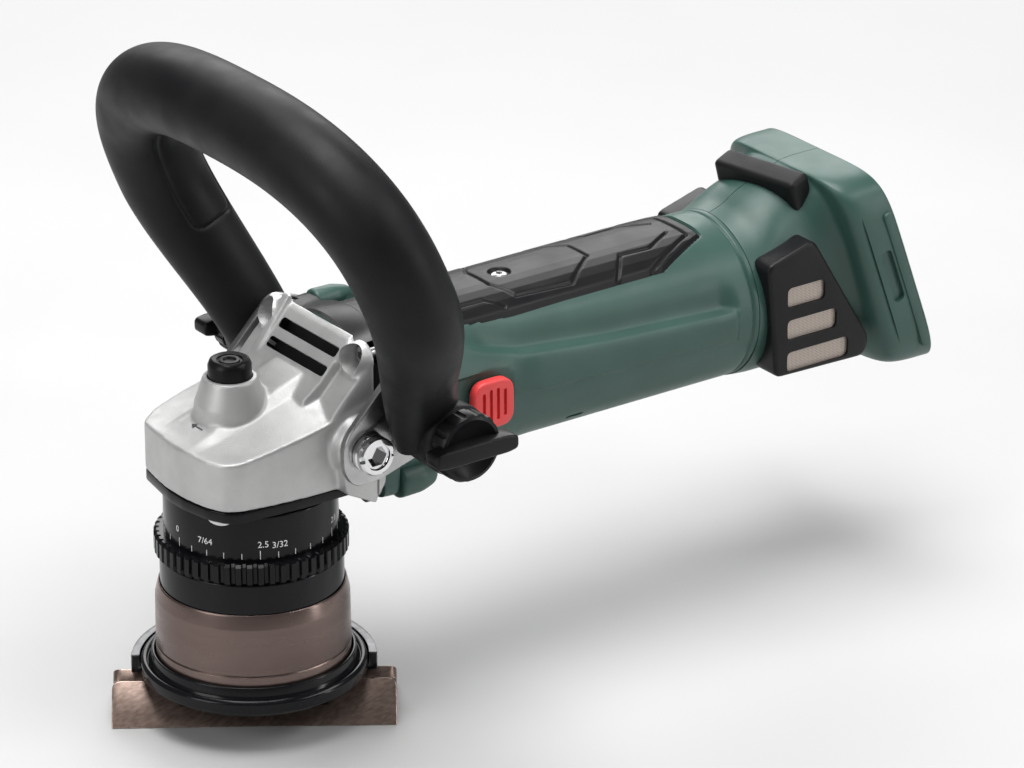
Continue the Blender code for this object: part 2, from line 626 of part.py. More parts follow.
def make_motor(looks):
    axis = (0, 0, AXIS_HEIGHT)
    end = MOTOR_START + MOTOR_LENGTH
    turned("stator", tube(MOTOR_START, end, STATOR_BORE, STATOR_RADIUS), looks["iron"], axis, ALONG_X, ROUND)
    bore = SHAFT_RADIUS + GAP
    turned("armature", tube(MOTOR_START + 3, end - 3, bore, STATOR_BORE - 0.8), looks["copper"], axis,
           ALONG_X, ROUND)
    turned("commutator", tube(end + 6, end + 18, bore, 11.0), looks["copper"], axis, ALONG_X, ROUND)
    shaft = [(0, 10.6), (4.4, 10.6), (6.4, 24), (SHAFT_RADIUS, 24.6), (SHAFT_RADIUS, end + 34),
             (0, end + 34)]
    turned("motor_shaft", shaft, looks["steel"], axis, ALONG_X, ROUND)
    fan = prism("cooling_fan", star_outline(FAN_RADIUS, 11.0, 9), 52, 62, looks["black_plastic"], "X",
                at=axis)
    cut(fan, rod_cutter(40, 70, bore, axis, ALONG_X))
    for side, label in ((-1, "left"), (1, "right")):
        outline = [(-3.5, -3.0), (3.5, -3.0), (3.5, 3.0), (-3.5, 3.0)]
        prism(f"carbon_brush_{label}", outline, 11.0 + GAP, 23.0, looks["graphite"],
              at=(end + 12, 0, AXIS_HEIGHT), turn=(-90 * side, 0, 0))
    bearing = looks["steel"]
    make_bearing("motor_bearing_front", bore, 11.0, 8.0, bearing, (33.0, 0, AXIS_HEIGHT), ALONG_X)
    make_bearing("motor_bearing_rear", bore, 9.5, 7.0, bearing, (end + 24, 0, AXIS_HEIGHT), ALONG_X)
    bridge = turned("bearing_bridge", tube(end + 23, end + 33, 9.5 + GAP, BODY_RADIUS - BODY_WALL - GAP),
                    looks["black_plastic"], axis, ALONG_X, ROUND)
    for quarter in range(4):
        angle = math.radians(45 + 90 * quarter)
        at = (0, 18 * math.cos(angle), AXIS_HEIGHT + 18 * math.sin(angle))
        cut(bridge, rod_cutter(end + 20, end + 36, 5.0, at, ALONG_X, SMALL))


def make_spindle_bearings(looks):
    make_bearing("spindle_bearing_lower", SPINDLE_RADIUS + 2 + GAP, 13.0, 8.0, looks["steel"],
                 (0, 0, PLATE_BOTTOM - 0.6), (0, 0, 0))
    make_bearing("spindle_bearing_upper", 4.0 + GAP, 8.0, 5.0, looks["steel"], (0, 0, AXIS_HEIGHT + 2.0),
                 (0, 0, 0))


# ---------------------------------------------------------------- lock button

def make_lock_button(web, look, spring_look):
    low = BOSS_TOP - 2.0
    rest = web + 0.8
    button = turned("lock_button", [(0, low), (BUTTON_RADIUS, low), (BUTTON_RADIUS, BUTTON_TOP - 3),
                                    (BUTTON_RADIUS - 0.8, BUTTON_TOP), (0, BUTTON_TOP)], look,
                    (BUTTON_X, 0, 0), segments=ROUND)
    pin = turned("pin", disc(rest, low + 1, LOCK_PIN), look, (-LOCK_RADIUS, 0, 0), segments=SMALL)
    fuse(button, pin)
    seat = BOSS_TOP - 9 + GAP
    turns = 3
    steps = 10
    rings = []
    radius = 3.0
    wire = 0.45
    count = turns * steps
    for step in range(count + 1):
        angle = 2 * math.pi * step / steps
        height = seat + wire + (low - GAP - seat - 2 * wire) * step / count
        centre = Vector((radius * math.cos(angle), radius * math.sin(angle), height))
        out = Vector((math.cos(angle), math.sin(angle), 0))
        rings.append([centre + wire * (math.cos(a) * out + math.sin(a) * Vector((0, 0, 1)))
                      for a in [2 * math.pi * k / 5 for k in range(5)]])
    make_object("lock_spring", loft_mesh(rings), spring_look, (BUTTON_X + 2.4, 0, 0))


# ---------------------------------------------------------------- bow handle

def bow_point(place):
    """The bow at a place from 0 to 1: across, distance from the pivot, and the section's two radii."""
    legs = BOW_LEG_SHARE
    if place < legs:
        share = place / legs
        ease = share * share * (3 - 2 * share)
        half = BOW_FOOT + (BOW_HALF_WIDTH - BOW_FOOT) * ease
        return (-half, BOW_STRAIGHT * share, LEG_HALF_THICKNESS + (BOW_RADIUS - LEG_HALF_THICKNESS) * ease,
                LEG_HALF_DEPTH + (BOW_RADIUS - LEG_HALF_DEPTH) * ease)
    if place > 1 - legs:
        half, up, thick, deep = bow_point(1 - place)
        return -half, up, thick, deep
    angle = math.pi * (place - legs) / (1 - 2 * legs)
    power = BOW_ARCH_POWER
    across = -BOW_HALF_WIDTH * math.copysign(abs(math.cos(angle)) ** power, math.cos(angle))
    return across, BOW_STRAIGHT + BOW_ARCH * abs(math.sin(angle)) ** power, BOW_RADIUS, BOW_RADIUS


def make_bow(look):
    lean = math.radians(BOW_LEAN)
    up = Vector((-math.sin(lean), 0, math.cos(lean)))
    flat = Vector((math.cos(lean), 0, math.sin(lean)))
    count = 30
    points = []
    for step in range(count + 1):
        across, along, thick, deep = bow_point(step / count)
        points.append((Vector((BOW_OFFSET, across, 0)) + up * along, thick, deep))
    rings = []
    for step, (centre, thick, deep) in enumerate(points):
        before = points[max(step - 1, 0)][0]
        after = points[min(step + 1, count)][0]
        tangent = (after - before).normalized()
        normal = tangent.cross(flat).normalized()
        rings.append([centre + thick * math.cos(a) * normal + deep * math.sin(a) * flat
                      for a in [2 * math.pi * k / BOW_SIDES for k in range(BOW_SIDES)]])
    at = (PIVOT_X, 0, PIVOT_Z)
    bow = make_object("bow_handle", loft_mesh(rings), look, at)
    for side in (-1, 1):
        hub = [(0, HUB_INNER), (HUB_RADIUS - 1, HUB_INNER), (HUB_RADIUS, HUB_INNER + 2),
               (HUB_RADIUS + 1.0, HUB_OUTER - 3), (HUB_RADIUS - 1, HUB_OUTER), (0, HUB_OUTER)]
        fuse(bow, turned("hub", hub, look, at, (-90 * side, 0, 0), ROUND))
        cut(bow, rod_cutter(HUB_INNER - 10, HUB_OUTER + 10, STUD_RADIUS + GAP, at, (-90 * side, 0, 0), ROUND))


def make_bracket(name, side, look):
    """A pressed steel arm from the housing's ear to the bow's pivot."""
    outer = HUB_INNER - GAP
    inner = outer - BRACKET_PLATE
    top = PIVOT_Z + 20
    outline = [(BOLT_X - 10, BOLT_Z - 6), (BOLT_X - 10, BOLT_Z + 6), (PIVOT_X - 8, top + 3),
               (PIVOT_X + 8, top - 3), (PIVOT_X + 12, PIVOT_Z - 2), (PIVOT_X + 5, PIVOT_Z - 12),
               (BOLT_X + 4, BOLT_Z - 12), (BOLT_X - 6, BOLT_Z - 12)]
    low, high = sorted((side * inner, side * outer))
    plate = prism(name, outline, low, high, look, "Y")
    cut(plate, rod_cutter(-60, 60, BOLT_SHANK + GAP, (BOLT_X, 0, BOLT_Z), ALONG_Y),
        rod_cutter(-60, 60, STUD_RADIUS + GAP, (PIVOT_X, 0, PIVOT_Z), ALONG_Y))


def make_side_bolt(name, side, look):
    seat = HUB_INNER
    profile = [(0, 26.4), (BOLT_SHANK, 26.4), (BOLT_SHANK, seat), (BOLT_HEAD, seat),
               (BOLT_HEAD, seat + 5.5), (0, seat + 5.5)]
    at = (BOLT_X, 0, BOLT_Z)
    bolt = turned(name, profile, look, at, (-90 * side, 0, 0), ROUND)
    socket = prism("cutter_hex", star_outline(3.6, 3.6, 6)[1::4], seat + 1.8, seat + 9, None,
                   at=at, turn=(-90 * side, 0, 0), keep=False)
    cut(bolt, socket)


def make_knob(name, side, look):
    low = HUB_OUTER + GAP
    at = (PIVOT_X, 0, PIVOT_Z)
    turn = (-90 * side, 0, 0)
    profile = [(0, HUB_INNER - BRACKET_PLATE - 1.0), (STUD_RADIUS, HUB_INNER - BRACKET_PLATE - 1.0),
               (STUD_RADIUS, low), (KNOB_RADIUS, low), (KNOB_RADIUS, low + KNOB_HEIGHT - 3),
               (KNOB_RADIUS - 2, low + KNOB_HEIGHT - 1.5), (0, low + KNOB_HEIGHT - 1.5)]
    knob = turned(name, profile, look, at, turn, ROUND)
    outline = rounded_outline(17, 3.2, 1.5, 2)
    wing = prism("wing", outline, low + 3.5, low + KNOB_HEIGHT + 3, look, at=at, turn=turn)
    fuse(knob, wing)


# ---------------------------------------------------------------- rear housing

def foot_section(x, z, half_width, half_height, power, tilt, steps=28):
    lean = math.radians(tilt)
    points = []
    for step in range(steps):
        angle = 2 * math.pi * step / steps
        across = half_width * math.copysign(abs(math.cos(angle)) ** power, math.cos(angle))
        up = half_height * math.copysign(abs(math.sin(angle)) ** power, math.sin(angle))
        points.append((x - math.sin(lean) * up, across, z + math.cos(lean) * up))
    return points


def rear_stations():
    """Stations of the rear housing: x, z, half width, half height, corner power, tilt."""
    wide = FOOT_HALF_WIDTH
    tall = FOOT_HALF_HEIGHT
    return [(BODY_END + GAP, AXIS_HEIGHT, BODY_RADIUS, BODY_RADIUS, 1.0, 0),
            (BODY_END + 6, AXIS_HEIGHT + 0.8, BODY_RADIUS, BODY_RADIUS + 1.0, 0.95, 0),
            (BODY_END + 15, AXIS_HEIGHT + 3.0, BODY_RADIUS - 2, BODY_RADIUS + 3.0, 0.85, 3),
            (BODY_END + 30, AXIS_HEIGHT + 5.5, BODY_RADIUS - 4, BODY_RADIUS + 5.0, 0.75, 10),
            (FOOT_X - FOOT_DEPTH - 6, FOOT_Z + 1, wide - 8, tall - 3, 0.6, 17),
            (FOOT_X - FOOT_DEPTH, FOOT_Z, wide - 0.6, tall - 0.4, 0.45, FOOT_TILT),
            (FOOT_X, FOOT_Z, wide, tall, 0.42, FOOT_TILT)]


def rear_solid(name, shrink, look, keep=True):
    sections = [foot_section(x, z, w - shrink, h - shrink, p, t) for x, z, w, h, p, t in rear_stations()]
    return make_object(name, loft_mesh(sections), look, keep=keep)


def foot_frame(offset):
    """A cutter's place on the rear face: at its centre, turned with the tilt."""
    lean = math.radians(FOOT_TILT)
    return (FOOT_X + offset * math.cos(lean), 0, FOOT_Z + offset * math.sin(lean))


def inner_cavity():
    stations = rear_stations()[:5]
    sections = []
    for number, (x, z, w, h, p, t) in enumerate(stations):
        start = x - 3 if number == 0 else x
        end = FOOT_X - FOOT_DEPTH - 4 if number == 4 else start
        wall = REAR_WALL if number < 4 else REAR_WALL + 7
        sections.append(foot_section(end, z, w - wall, h - wall, p, t))
    return make_object("cutter_cavity", loft_mesh(sections), None, keep=False)


def make_rear_shells(look):
    tilt = (0, -FOOT_TILT, 0)
    half = RAIL_SLOT / 2
    for side, label in ((-1, "left"), (1, "right")):
        shell = rear_solid(f"rear_housing_{label}", 0.0, look)
        low = (-60, -80, -120) if side > 0 else (-60, -GAP / 2, -120)
        high = (400, GAP / 2, 300) if side > 0 else (400, 80, 300)
        cut(shell, box_cutter(low, high))
        cut(shell, inner_cavity())
        cut(shell, box_cutter((-SLOT_DEPTH, -half, -80), (30, half, 33), foot_frame(0), tilt),
            box_cutter((-SLOT_DEPTH, -half - RAIL_UNDERCUT, -80), (-RAIL_LIP, half + RAIL_UNDERCUT, 33),
                       foot_frame(0), tilt))


def make_filter(name, side, look):
    """Dust filter frame on the flank of the rear housing, hollowed to fit the flank behind it."""
    start = BODY_END + 1.5
    outline = [(start, AXIS_HEIGHT + 20), (start + 21, AXIS_HEIGHT + 26), (start + 47, AXIS_HEIGHT - 18),
               (start + 45, AXIS_HEIGHT - 25), (start + 4, AXIS_HEIGHT - 24)]
    face = BODY_RADIUS + 3.0
    low, high = sorted((side * 19.0, side * face))
    frame = prism(name, outline, low, high, look, "Y")
    cut(frame, rear_solid("cutter_rear", -GAP, None, keep=False))
    for row in range(3):
        middle = AXIS_HEIGHT + 6 - 12.5 * row
        reach = 17 + 5.5 * row
        deep, top = sorted((side * (face - 1.4), side * (face + 5)))
        window = rounded_outline(reach / 2, 3.6, 1.5, 2, (start + 9 + reach / 2, middle))
        cut(frame, prism("cutter_window", window, deep, top, None, "Y", keep=False))


def make_rear_details(looks):
    tilt = (0, -FOOT_TILT, 0)
    outline = [(-17, -14), (17, -14), (17, 14), (-17, 14)]
    prism("battery_terminals", outline, -SLOT_DEPTH + GAP, -SLOT_DEPTH + 5.5, looks["black_plastic"], "X",
          at=foot_frame(0), turn=tilt)
    board = rounded_outline(14, 17, 1.0, 1, (BODY_END + 20, 0))
    prism("control_board", board, AXIS_HEIGHT - 2, AXIS_HEIGHT, looks["board"])
    top = AXIS_HEIGHT + BODY_RADIUS + 1.4
    lens = prism("signal_lens", rounded_outline(2.3, 2.3, 0.6, 2), top, top + 7, looks["lens"],
                 at=(BODY_END + 12.5, 0, 0))
    cut(lens, rear_solid("cutter_rear", -GAP, None, keep=False))
    bumper_outline = rounded_outline(5.0, 19.0, 2.5, 3)
    bumper = prism("rear_bumper", bumper_outline, BODY_RADIUS - 1, BODY_RADIUS + 15.5, looks["rubber"],
                   at=(BODY_END + 34, 0, AXIS_HEIGHT), turn=(0, -16, 12))
    cut(bumper, rear_solid("cutter_rear", -1.5 * GAP, None, keep=False))


# ---------------------------------------------------------------- assembly

def make_looks():
    return {
        "green": material("green_plastic", (0.035, 0.12, 0.085), 0.45),
        "black_plastic": material("black_plastic", (0.012, 0.012, 0.013), 0.5),
        "rubber": material("soft_grip", (0.014, 0.014, 0.015), 0.7),
        "cast": material("cast_aluminium", (0.62, 0.62, 0.61), 0.4, 0.9),
        "black_metal": material("black_anodised", (0.012, 0.012, 0.015), 0.35, 0.6),
        "bronze": material("coated_steel", (0.2, 0.15, 0.125), 0.38, 0.85),
        "steel": material("bright_steel", (0.6, 0.6, 0.6), 0.25, 1.0),
        "red": material("red_plastic", (0.75, 0.05, 0.045), 0.45),
        "white": material("white_mark", (0.85, 0.85, 0.85), 0.5),
        "iron": material("motor_iron", (0.2, 0.2, 0.21), 0.5, 0.8),
        "copper": material("copper_winding", (0.6, 0.27, 0.12), 0.35, 0.9),
        "graphite": material("graphite", (0.06, 0.06, 0.06), 0.6),
        "carbide": material("carbide", (0.35, 0.34, 0.3), 0.3, 0.9),
        "board": material("circuit_board", (0.02, 0.15, 0.05), 0.5),
        "lens": material("grey_lens", (0.12, 0.12, 0.13), 0.3),
    }


def build():
    looks = make_looks()
    make_shoe(looks)
    make_sleeve(looks["bronze"])
    make_neck(looks["black_metal"])
    make_depth_ring(looks["black_metal"])
    make_cover_plate(looks["black_metal"], looks["white"])
    screw_top = make_milling_head(looks["steel"], looks["carbide"], looks["steel"])
    make_spindle(screw_top, looks["steel"])
    web = make_crown_gear(looks["steel"])
    make_spindle_bearings(looks)
    housing = make_gear_housing(looks["cast"])
    hollow_gear_housing(housing)
    motor = make_motor_housing(looks["green"])
    make_flange_screws(housing, motor, looks["steel"])
    make_top_pad(looks["rubber"], looks["steel"])
    make_switch(looks["red"])
    make_motor(looks)
    make_lock_button(web, looks["black_plastic"], looks["steel"])
    make_bow(looks["rubber"])
    for side, label in ((-1, "left"), (1, "right")):
        make_bracket(f"handle_bracket_{label}", side, looks["steel"])
        make_side_bolt(f"side_bolt_{label}", side, looks["steel"])
        make_knob(f"wing_knob_{label}", side, looks["black_plastic"])
        make_filter(f"filter_frame_{label}", side, looks["black_plastic"])
    make_rear_shells(looks["green"])
    make_rear_details(looks)


def stand_on_origin():
    """Move the spindle frame so that the bottom centre of the whole tool is the scene's origin."""
    bpy.context.view_layer.update()
    corners = []
    for item in bpy.data.objects:
        if item.type == "MESH" and not item.hide_render:
            corners += [item.matrix_world @ v.co for v in item.data.vertices]
    low = [min(c[axis] for c in corners) for axis in range(3)]
    high = [max(c[axis] for c in corners) for axis in range(3)]
    FRAME.location = (-(low[0] + high[0]) / 2, -(low[1] + high[1]) / 2, -low[2])


clear_scene()
FRAME = bpy.data.objects.new("spindle_frame", None)
bpy.context.collection.objects.link(FRAME)
build()
stand_on_origin()
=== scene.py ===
"""The looks of a cordless bevelling tool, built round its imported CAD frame.

Shapes are written in millimetres in the spindle's frame: the spindle axis is x = y = 0, the guide
rails stand on z = 0, and the motor axis runs along +X at AXIS_HEIGHT.
"""
import json
import math

import bmesh
import bpy
from mathutils import Matrix, Vector


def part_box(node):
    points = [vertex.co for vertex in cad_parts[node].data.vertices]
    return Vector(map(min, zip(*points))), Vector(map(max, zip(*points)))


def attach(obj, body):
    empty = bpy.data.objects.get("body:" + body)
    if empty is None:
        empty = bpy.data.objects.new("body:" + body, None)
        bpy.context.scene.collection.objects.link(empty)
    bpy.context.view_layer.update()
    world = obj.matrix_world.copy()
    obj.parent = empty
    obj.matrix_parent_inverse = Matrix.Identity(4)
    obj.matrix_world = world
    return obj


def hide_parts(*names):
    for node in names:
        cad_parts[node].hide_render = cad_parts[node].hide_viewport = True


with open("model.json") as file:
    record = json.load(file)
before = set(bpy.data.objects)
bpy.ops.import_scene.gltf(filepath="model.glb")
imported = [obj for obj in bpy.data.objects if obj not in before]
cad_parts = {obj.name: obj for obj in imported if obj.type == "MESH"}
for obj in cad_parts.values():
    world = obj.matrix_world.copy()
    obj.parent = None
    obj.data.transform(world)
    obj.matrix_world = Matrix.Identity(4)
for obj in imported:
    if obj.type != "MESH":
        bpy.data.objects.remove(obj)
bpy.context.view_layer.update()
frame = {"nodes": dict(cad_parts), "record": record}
NODES = frame["nodes"]
BODY_OF = {node: body for body, members in frame["record"]["behaviour"]["bodies"].items()
           for node in members}
SLOT_OF = {row["node"]: row["material_slot"] for row in frame["record"]["subparts"]}
MM = 0.001
SPINDLE_X = sum(corner.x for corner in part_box("spindle")) / 2 / MM

# sizes of the CAD that shapes here are built on
RAIL_LENGTH, RAIL_FOOT, RAIL_THICKNESS, RAIL_TOP, RAIL_TURN = 100.0, 17.3, 4.5, 12.5, -34.3
CUTTER_HOLE = 13.6
SLEEVE_RADIUS, SLEEVE_TOP = 34.0, 50.3
FLANGE_RADIUS, FLANGE_BOTTOM, FLANGE_TOP, LIP_TOP = 40.0, 15.7, 20.1, 24.0
RING_BOTTOM, RING_HEIGHT, RING_RADIUS, SCALE_RADIUS = 61.8, 8.0, 34.1, 30.6
NECK_RADIUS = 28.2
AXIS_HEIGHT = 109.0
PLATE_BOTTOM, PLATE_THICKNESS = 86.6, 4.1
BODY_START, BODY_END, BODY_RADIUS, COLLAR_RADIUS = 43.5, 198.9, 31.0, 34.2
BUTTON_X, BUTTON_RADIUS, BUTTON_TOP, BOSS_TOP, BOSS_RADIUS = -7.3, 7.7, 135.0, 128.6, 9.2
PIVOT_X, PIVOT_Z = 43.7, 113.2
BOLT_X, BOLT_Z = 22.5, 106.5
FOOT_X, FOOT_Z, FOOT_TILT = 264.0, 113.5, 19.4
HUB_INNER_FACE, HUB_OUTER_FACE, BRACKET_THICKNESS = 41.0, 65.0, 3.0
PAD_SCREW_X, PIN_X = 106.5, -13.0
GAP = 0.3
AXIS, BUTTON = (0, 0, AXIS_HEIGHT), (BUTTON_X, 0, 0)
PIVOT, BOLT = (PIVOT_X, 0, PIVOT_Z), (BOLT_X, 0, BOLT_Z)
ALONG_X = (0, 90, 0)


# ---------------------------------------------------------------- meshes

def placed(bm, at=(0, 0, 0), turn=(0, 0, 0)):
    """Turn a mesh by degrees about X, Y and Z, then move it."""
    spin = Matrix.Identity(4)
    for axis, angle in zip("XYZ", turn):
        spin = Matrix.Rotation(math.radians(angle), 4, axis) @ spin
    bm.transform(Matrix.Translation(at) @ spin)
    return bm


def closed(bm):
    bmesh.ops.remove_doubles(bm, verts=bm.verts, dist=1e-4)
    bmesh.ops.recalc_face_normals(bm, faces=bm.faces)
    return bm


def loft(rings, loop=False):
    """Skin over rings of the same count; with loop the last ring joins the first, else both are capped."""
    bm = bmesh.new()
    rows = [[bm.verts.new(p) for p in ring] for ring in rings]
    count = len(rows[0])
    pairs = list(zip(rows, rows[1:])) + ([(rows[-1], rows[0])] if loop else [])
    for a, b in pairs:
        for k in range(count):
            n = (k + 1) % count
            bm.faces.new((a[k], a[n], b[n], b[k]))
    if not loop:
        bm.faces.new(list(reversed(rows[0])))
        bm.faces.new(rows[-1])
    return closed(bm)


def lathe(profile, segments=128, at=(0, 0, 0), turn=(0, 0, 0)):
    """Turn a closed outline of (radius, height) about Z."""
    bm = bmesh.new()
    rows = []
    for step in range(segments):
        angle = 2 * math.pi * step / segments
        rows.append([bm.verts.new((r * math.cos(angle), r * math.sin(angle), z)) for r, z in profile])
    for a, b in zip(rows, rows[1:] + rows[:1]):
        for k in range(len(profile)):
            n = (k + 1) % len(profile)
            bm.faces.new((a[k], b[k], b[n], a[n]))
    bmesh.ops.remove_doubles(bm, verts=bm.verts, dist=1e-4)
    flat = [f for f in bm.faces if f.calc_area() < 1e-7]
    bmesh.ops.delete(bm, geom=flat, context="FACES")
    return placed(closed(bm), at, turn)


def rounded(points, radius, steps=4):
    """A closed outline with each corner rounded."""
    result = []
    count = len(points)
    for k in range(count):
        here = Vector(points[k])
        before = Vector(points[k - 1]) - here
        after = Vector(points[(k + 1) % count]) - here
        reach = min(radius, before.length * 0.45, after.length * 0.45)
        a, b = here + before.normalized() * reach, here + after.normalized() * reach
        for s in range(steps + 1):
            t = s / steps
            result.append(tuple((1 - t) ** 2 * a + 2 * t * (1 - t) * here + t * t * b))
    return result


def box_outline(half_a, half_b, centre=(0, 0)):
    a, b = centre
    return [(a - half_a, b - half_b), (a + half_a, b - half_b), (a + half_a, b + half_b),
            (a - half_a, b + half_b)]


def circle(radius, steps=32, centre=(0, 0)):
    return [(centre[0] + radius * math.cos(2 * math.pi * k / steps),
             centre[1] + radius * math.sin(2 * math.pi * k / steps)) for k in range(steps)]


def prism(outline, low, high, axis="Z", at=(0, 0, 0), turn=(0, 0, 0)):
    """Extrude an outline of (a, b) from low to high along an axis: Z takes (x, y), Y (x, z), X (y, z)."""
    def point(a, b, c):
        return {"Z": (a, b, c), "Y": (a, c, b), "X": (c, a, b)}[axis]
    return placed(loft([[point(a, b, c) for a, b in outline] for c in (low, high)]), at, turn)


def flank(outline, side, near, far):
    """Extrude an outline of (x, z) from near to far on one side of the middle."""
    return prism(outline, *sorted((side * near, side * far)), "Y")


def rod(radius, low, high, segments, at=(0, 0, 0), turn=(0, 0, 0)):
    return lathe([(0, low), (radius, low), (radius, high), (0, high)], segments, at, turn)


def bevelled(bm, width, steps=2, angle=30, mark=False):
    """Round the sharp edges; with mark the new faces take the second material."""
    limit = math.radians(angle)
    edges = [e for e in bm.edges if len(e.link_faces) == 2 and e.calc_face_angle(0) > limit]
    bmesh.ops.bevel(bm, geom=edges, offset=width, segments=steps, affect="EDGES", profile=0.5,
                    clamp_overlap=True, material=1 if mark else -1)
    return bm


def as_mesh(name, bm):
    mesh = bpy.data.meshes.new(name)
    bm.to_mesh(mesh)
    bm.free()
    return mesh


def linked(name, data):
    item = bpy.data.objects.new(name, data)
    bpy.context.scene.collection.objects.link(item)
    return item


def temporary(bm):
    return linked("temporary", as_mesh("temporary", bm))


def applied(item):
    """The object's mesh with its modifiers applied, as a bmesh; the object goes."""
    bpy.context.view_layer.update()
    done = item.evaluated_get(bpy.context.evaluated_depsgraph_get())
    bm = bmesh.new()
    bm.from_mesh(done.to_mesh())
    done.to_mesh_clear()
    mesh = item.data
    bpy.data.objects.remove(item)
    bpy.data.meshes.remove(mesh)
    return bm


def combined(bm, others, operation="DIFFERENCE"):
    """Boolean of a mesh with several closed meshes."""
    target = temporary(bm)
    tools = [temporary(other) for other in others]
    for tool in tools:
        step = target.modifiers.new("step", "BOOLEAN")
        step.operation = operation
        step.solver = "EXACT"
        step.object = tool
    result = applied(target)
    for tool in tools:
        bpy.data.objects.remove(tool)
    return result


def joined(meshes):
    """Several meshes as one, still overlapping."""
    bm = bmesh.new()
    for other in meshes:
        mesh = as_mesh("temporary", other)
        bm.from_mesh(mesh)
        bpy.data.meshes.remove(mesh)
    return bm


def cast(meshes, voxel, rounds):
    """One skin over overlapping closed meshes, with its edges softened as a mould leaves them."""
    item = temporary(joined(meshes))
    remesh = item.modifiers.new("remesh", "REMESH")
    remesh.mode = "VOXEL"
    remesh.voxel_size = voxel
    bm = applied(item)
    for _ in range(rounds):
        bmesh.ops.smooth_vert(bm, verts=bm.verts, factor=0.5, use_axis_x=True, use_axis_y=True,
                              use_axis_z=True)
    return bm


def ramp(low, high, value):
    """0 at low, 1 at high, and smooth between."""
    t = min(max((value - low) / (high - low), 0.0), 1.0)
    return t * t * (3 - 2 * t)


def off_line(x, y, points):
    """Distance of a point from a polyline."""
    best = 1e9
    for (ax, ay), (bx, by) in zip(points, points[1:]):
        dx, dy = bx - ax, by - ay
        t = min(max(((x - ax) * dx + (y - ay) * dy) / (dx * dx + dy * dy), 0.0), 1.0)
        best = min(best, math.hypot(x - ax - t * dx, y - ay - t * dy))
    return best


def add_piece(name, bm, look, node, second=None, sharp=35, extra=False):
    """Put a mesh in the row frame to ride with a node's body, with its looks and, unless extra, in its place.
    """
    stands_for = () if extra else (node,)
    bm.transform(Matrix.Diagonal((MM, MM, MM, 1)) @ Matrix.Translation((SPINDLE_X, 0, 0)))
    limit = math.radians(sharp)
    for face in bm.faces:
        face.smooth = True
    for edge in bm.edges:
        edge.smooth = edge.calc_face_angle(0) < limit
    mesh = as_mesh(name, bm)
    mesh.materials.append(look)
    if second:
        mesh.materials.append(second)
    item = linked(name, mesh)
    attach(item, BODY_OF[node])
    if stands_for:
        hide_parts(*stands_for)
    return item


# ---------------------------------------------------------------- materials

class Nodes:
    """A short way to build a shader's node tree."""

    def __init__(self, name):
        self.material = bpy.data.materials.new(name)
        self.material.use_nodes = True
        self.tree = self.material.node_tree
        self.shader = self.tree.nodes["Principled BSDF"]

    def add(self, kind, **inputs):
        node = self.tree.nodes.new(kind)
        for key, value in inputs.items():
            node.inputs[key.replace("_", " ")].default_value = value
        return node

    def link(self, source, target):
        self.tree.links.new(source, target)

    def noise(self, scale, detail=4.0, stretch=None, turn=0.0):
        """Noise over the object's own coordinates; stretch makes it long along some axes."""
        place = self.tree.nodes.new("ShaderNodeTexCoord").outputs["Object"]
        if stretch:
            mapping = self.add("ShaderNodeMapping", Rotation=(0, 0, turn), Scale=stretch)
            self.link(place, mapping.inputs["Vector"])
            place = mapping.outputs["Vector"]
        node = self.add("ShaderNodeTexNoise", Scale=scale, Detail=detail)
        self.link(place, node.inputs["Vector"])
        return node.outputs["Fac"]

    def colors(self, fac, dark, light, low=0.35, high=0.65):
        node = self.tree.nodes.new("ShaderNodeValToRGB")
        node.color_ramp.elements[0].position = low
        node.color_ramp.elements[1].position = high
        node.color_ramp.elements[0].color = (*dark, 1)
        node.color_ramp.elements[1].color = (*light, 1)
        self.link(fac, node.inputs["Fac"])
        return node.outputs["Color"]

    def spread(self, fac, low, high):
        node = self.add("ShaderNodeMapRange", To_Min=low, To_Max=high, From_Min=0.3, From_Max=0.7)
        self.link(fac, node.inputs["Value"])
        return node.outputs["Result"]

    def bump(self, *layers):
        """Layers of (height, strength, depth in metres), each on top of the last."""
        normal = None
        for height, strength, depth in layers:
            node = self.add("ShaderNodeBump", Strength=strength, Distance=depth)
            self.link(height, node.inputs["Height"])
            if normal:
                self.link(normal, node.inputs["Normal"])
            normal = node.outputs["Normal"]
        self.link(normal, self.shader.inputs["Normal"])


def make_look(name, dark, light, roughness, metallic=0.0, grain=2500, depth=0.00004, tone_scale=40,
              stretch=None, turn=0.0, coat=0.0, sheen=0.0, specular=0.5):
    """A finish with a fine grain, a slow change of tone and an uneven gloss."""
    n = Nodes(name)
    tone = n.noise(tone_scale, 5.0, stretch, turn)
    n.link(n.colors(tone, dark, light), n.shader.inputs["Base Color"])
    n.link(n.spread(n.noise(tone_scale * 2.3, 4.0, stretch, turn), *roughness),
           n.shader.inputs["Roughness"])
    n.shader.inputs["Metallic"].default_value = metallic
    n.shader.inputs["Coat Weight"].default_value = coat
    n.shader.inputs["Sheen Weight"].default_value = sheen
    n.shader.inputs["Specular IOR Level"].default_value = specular
    n.bump((n.noise(grain, 3.0, stretch, turn), 0.6, depth))
    return n.material


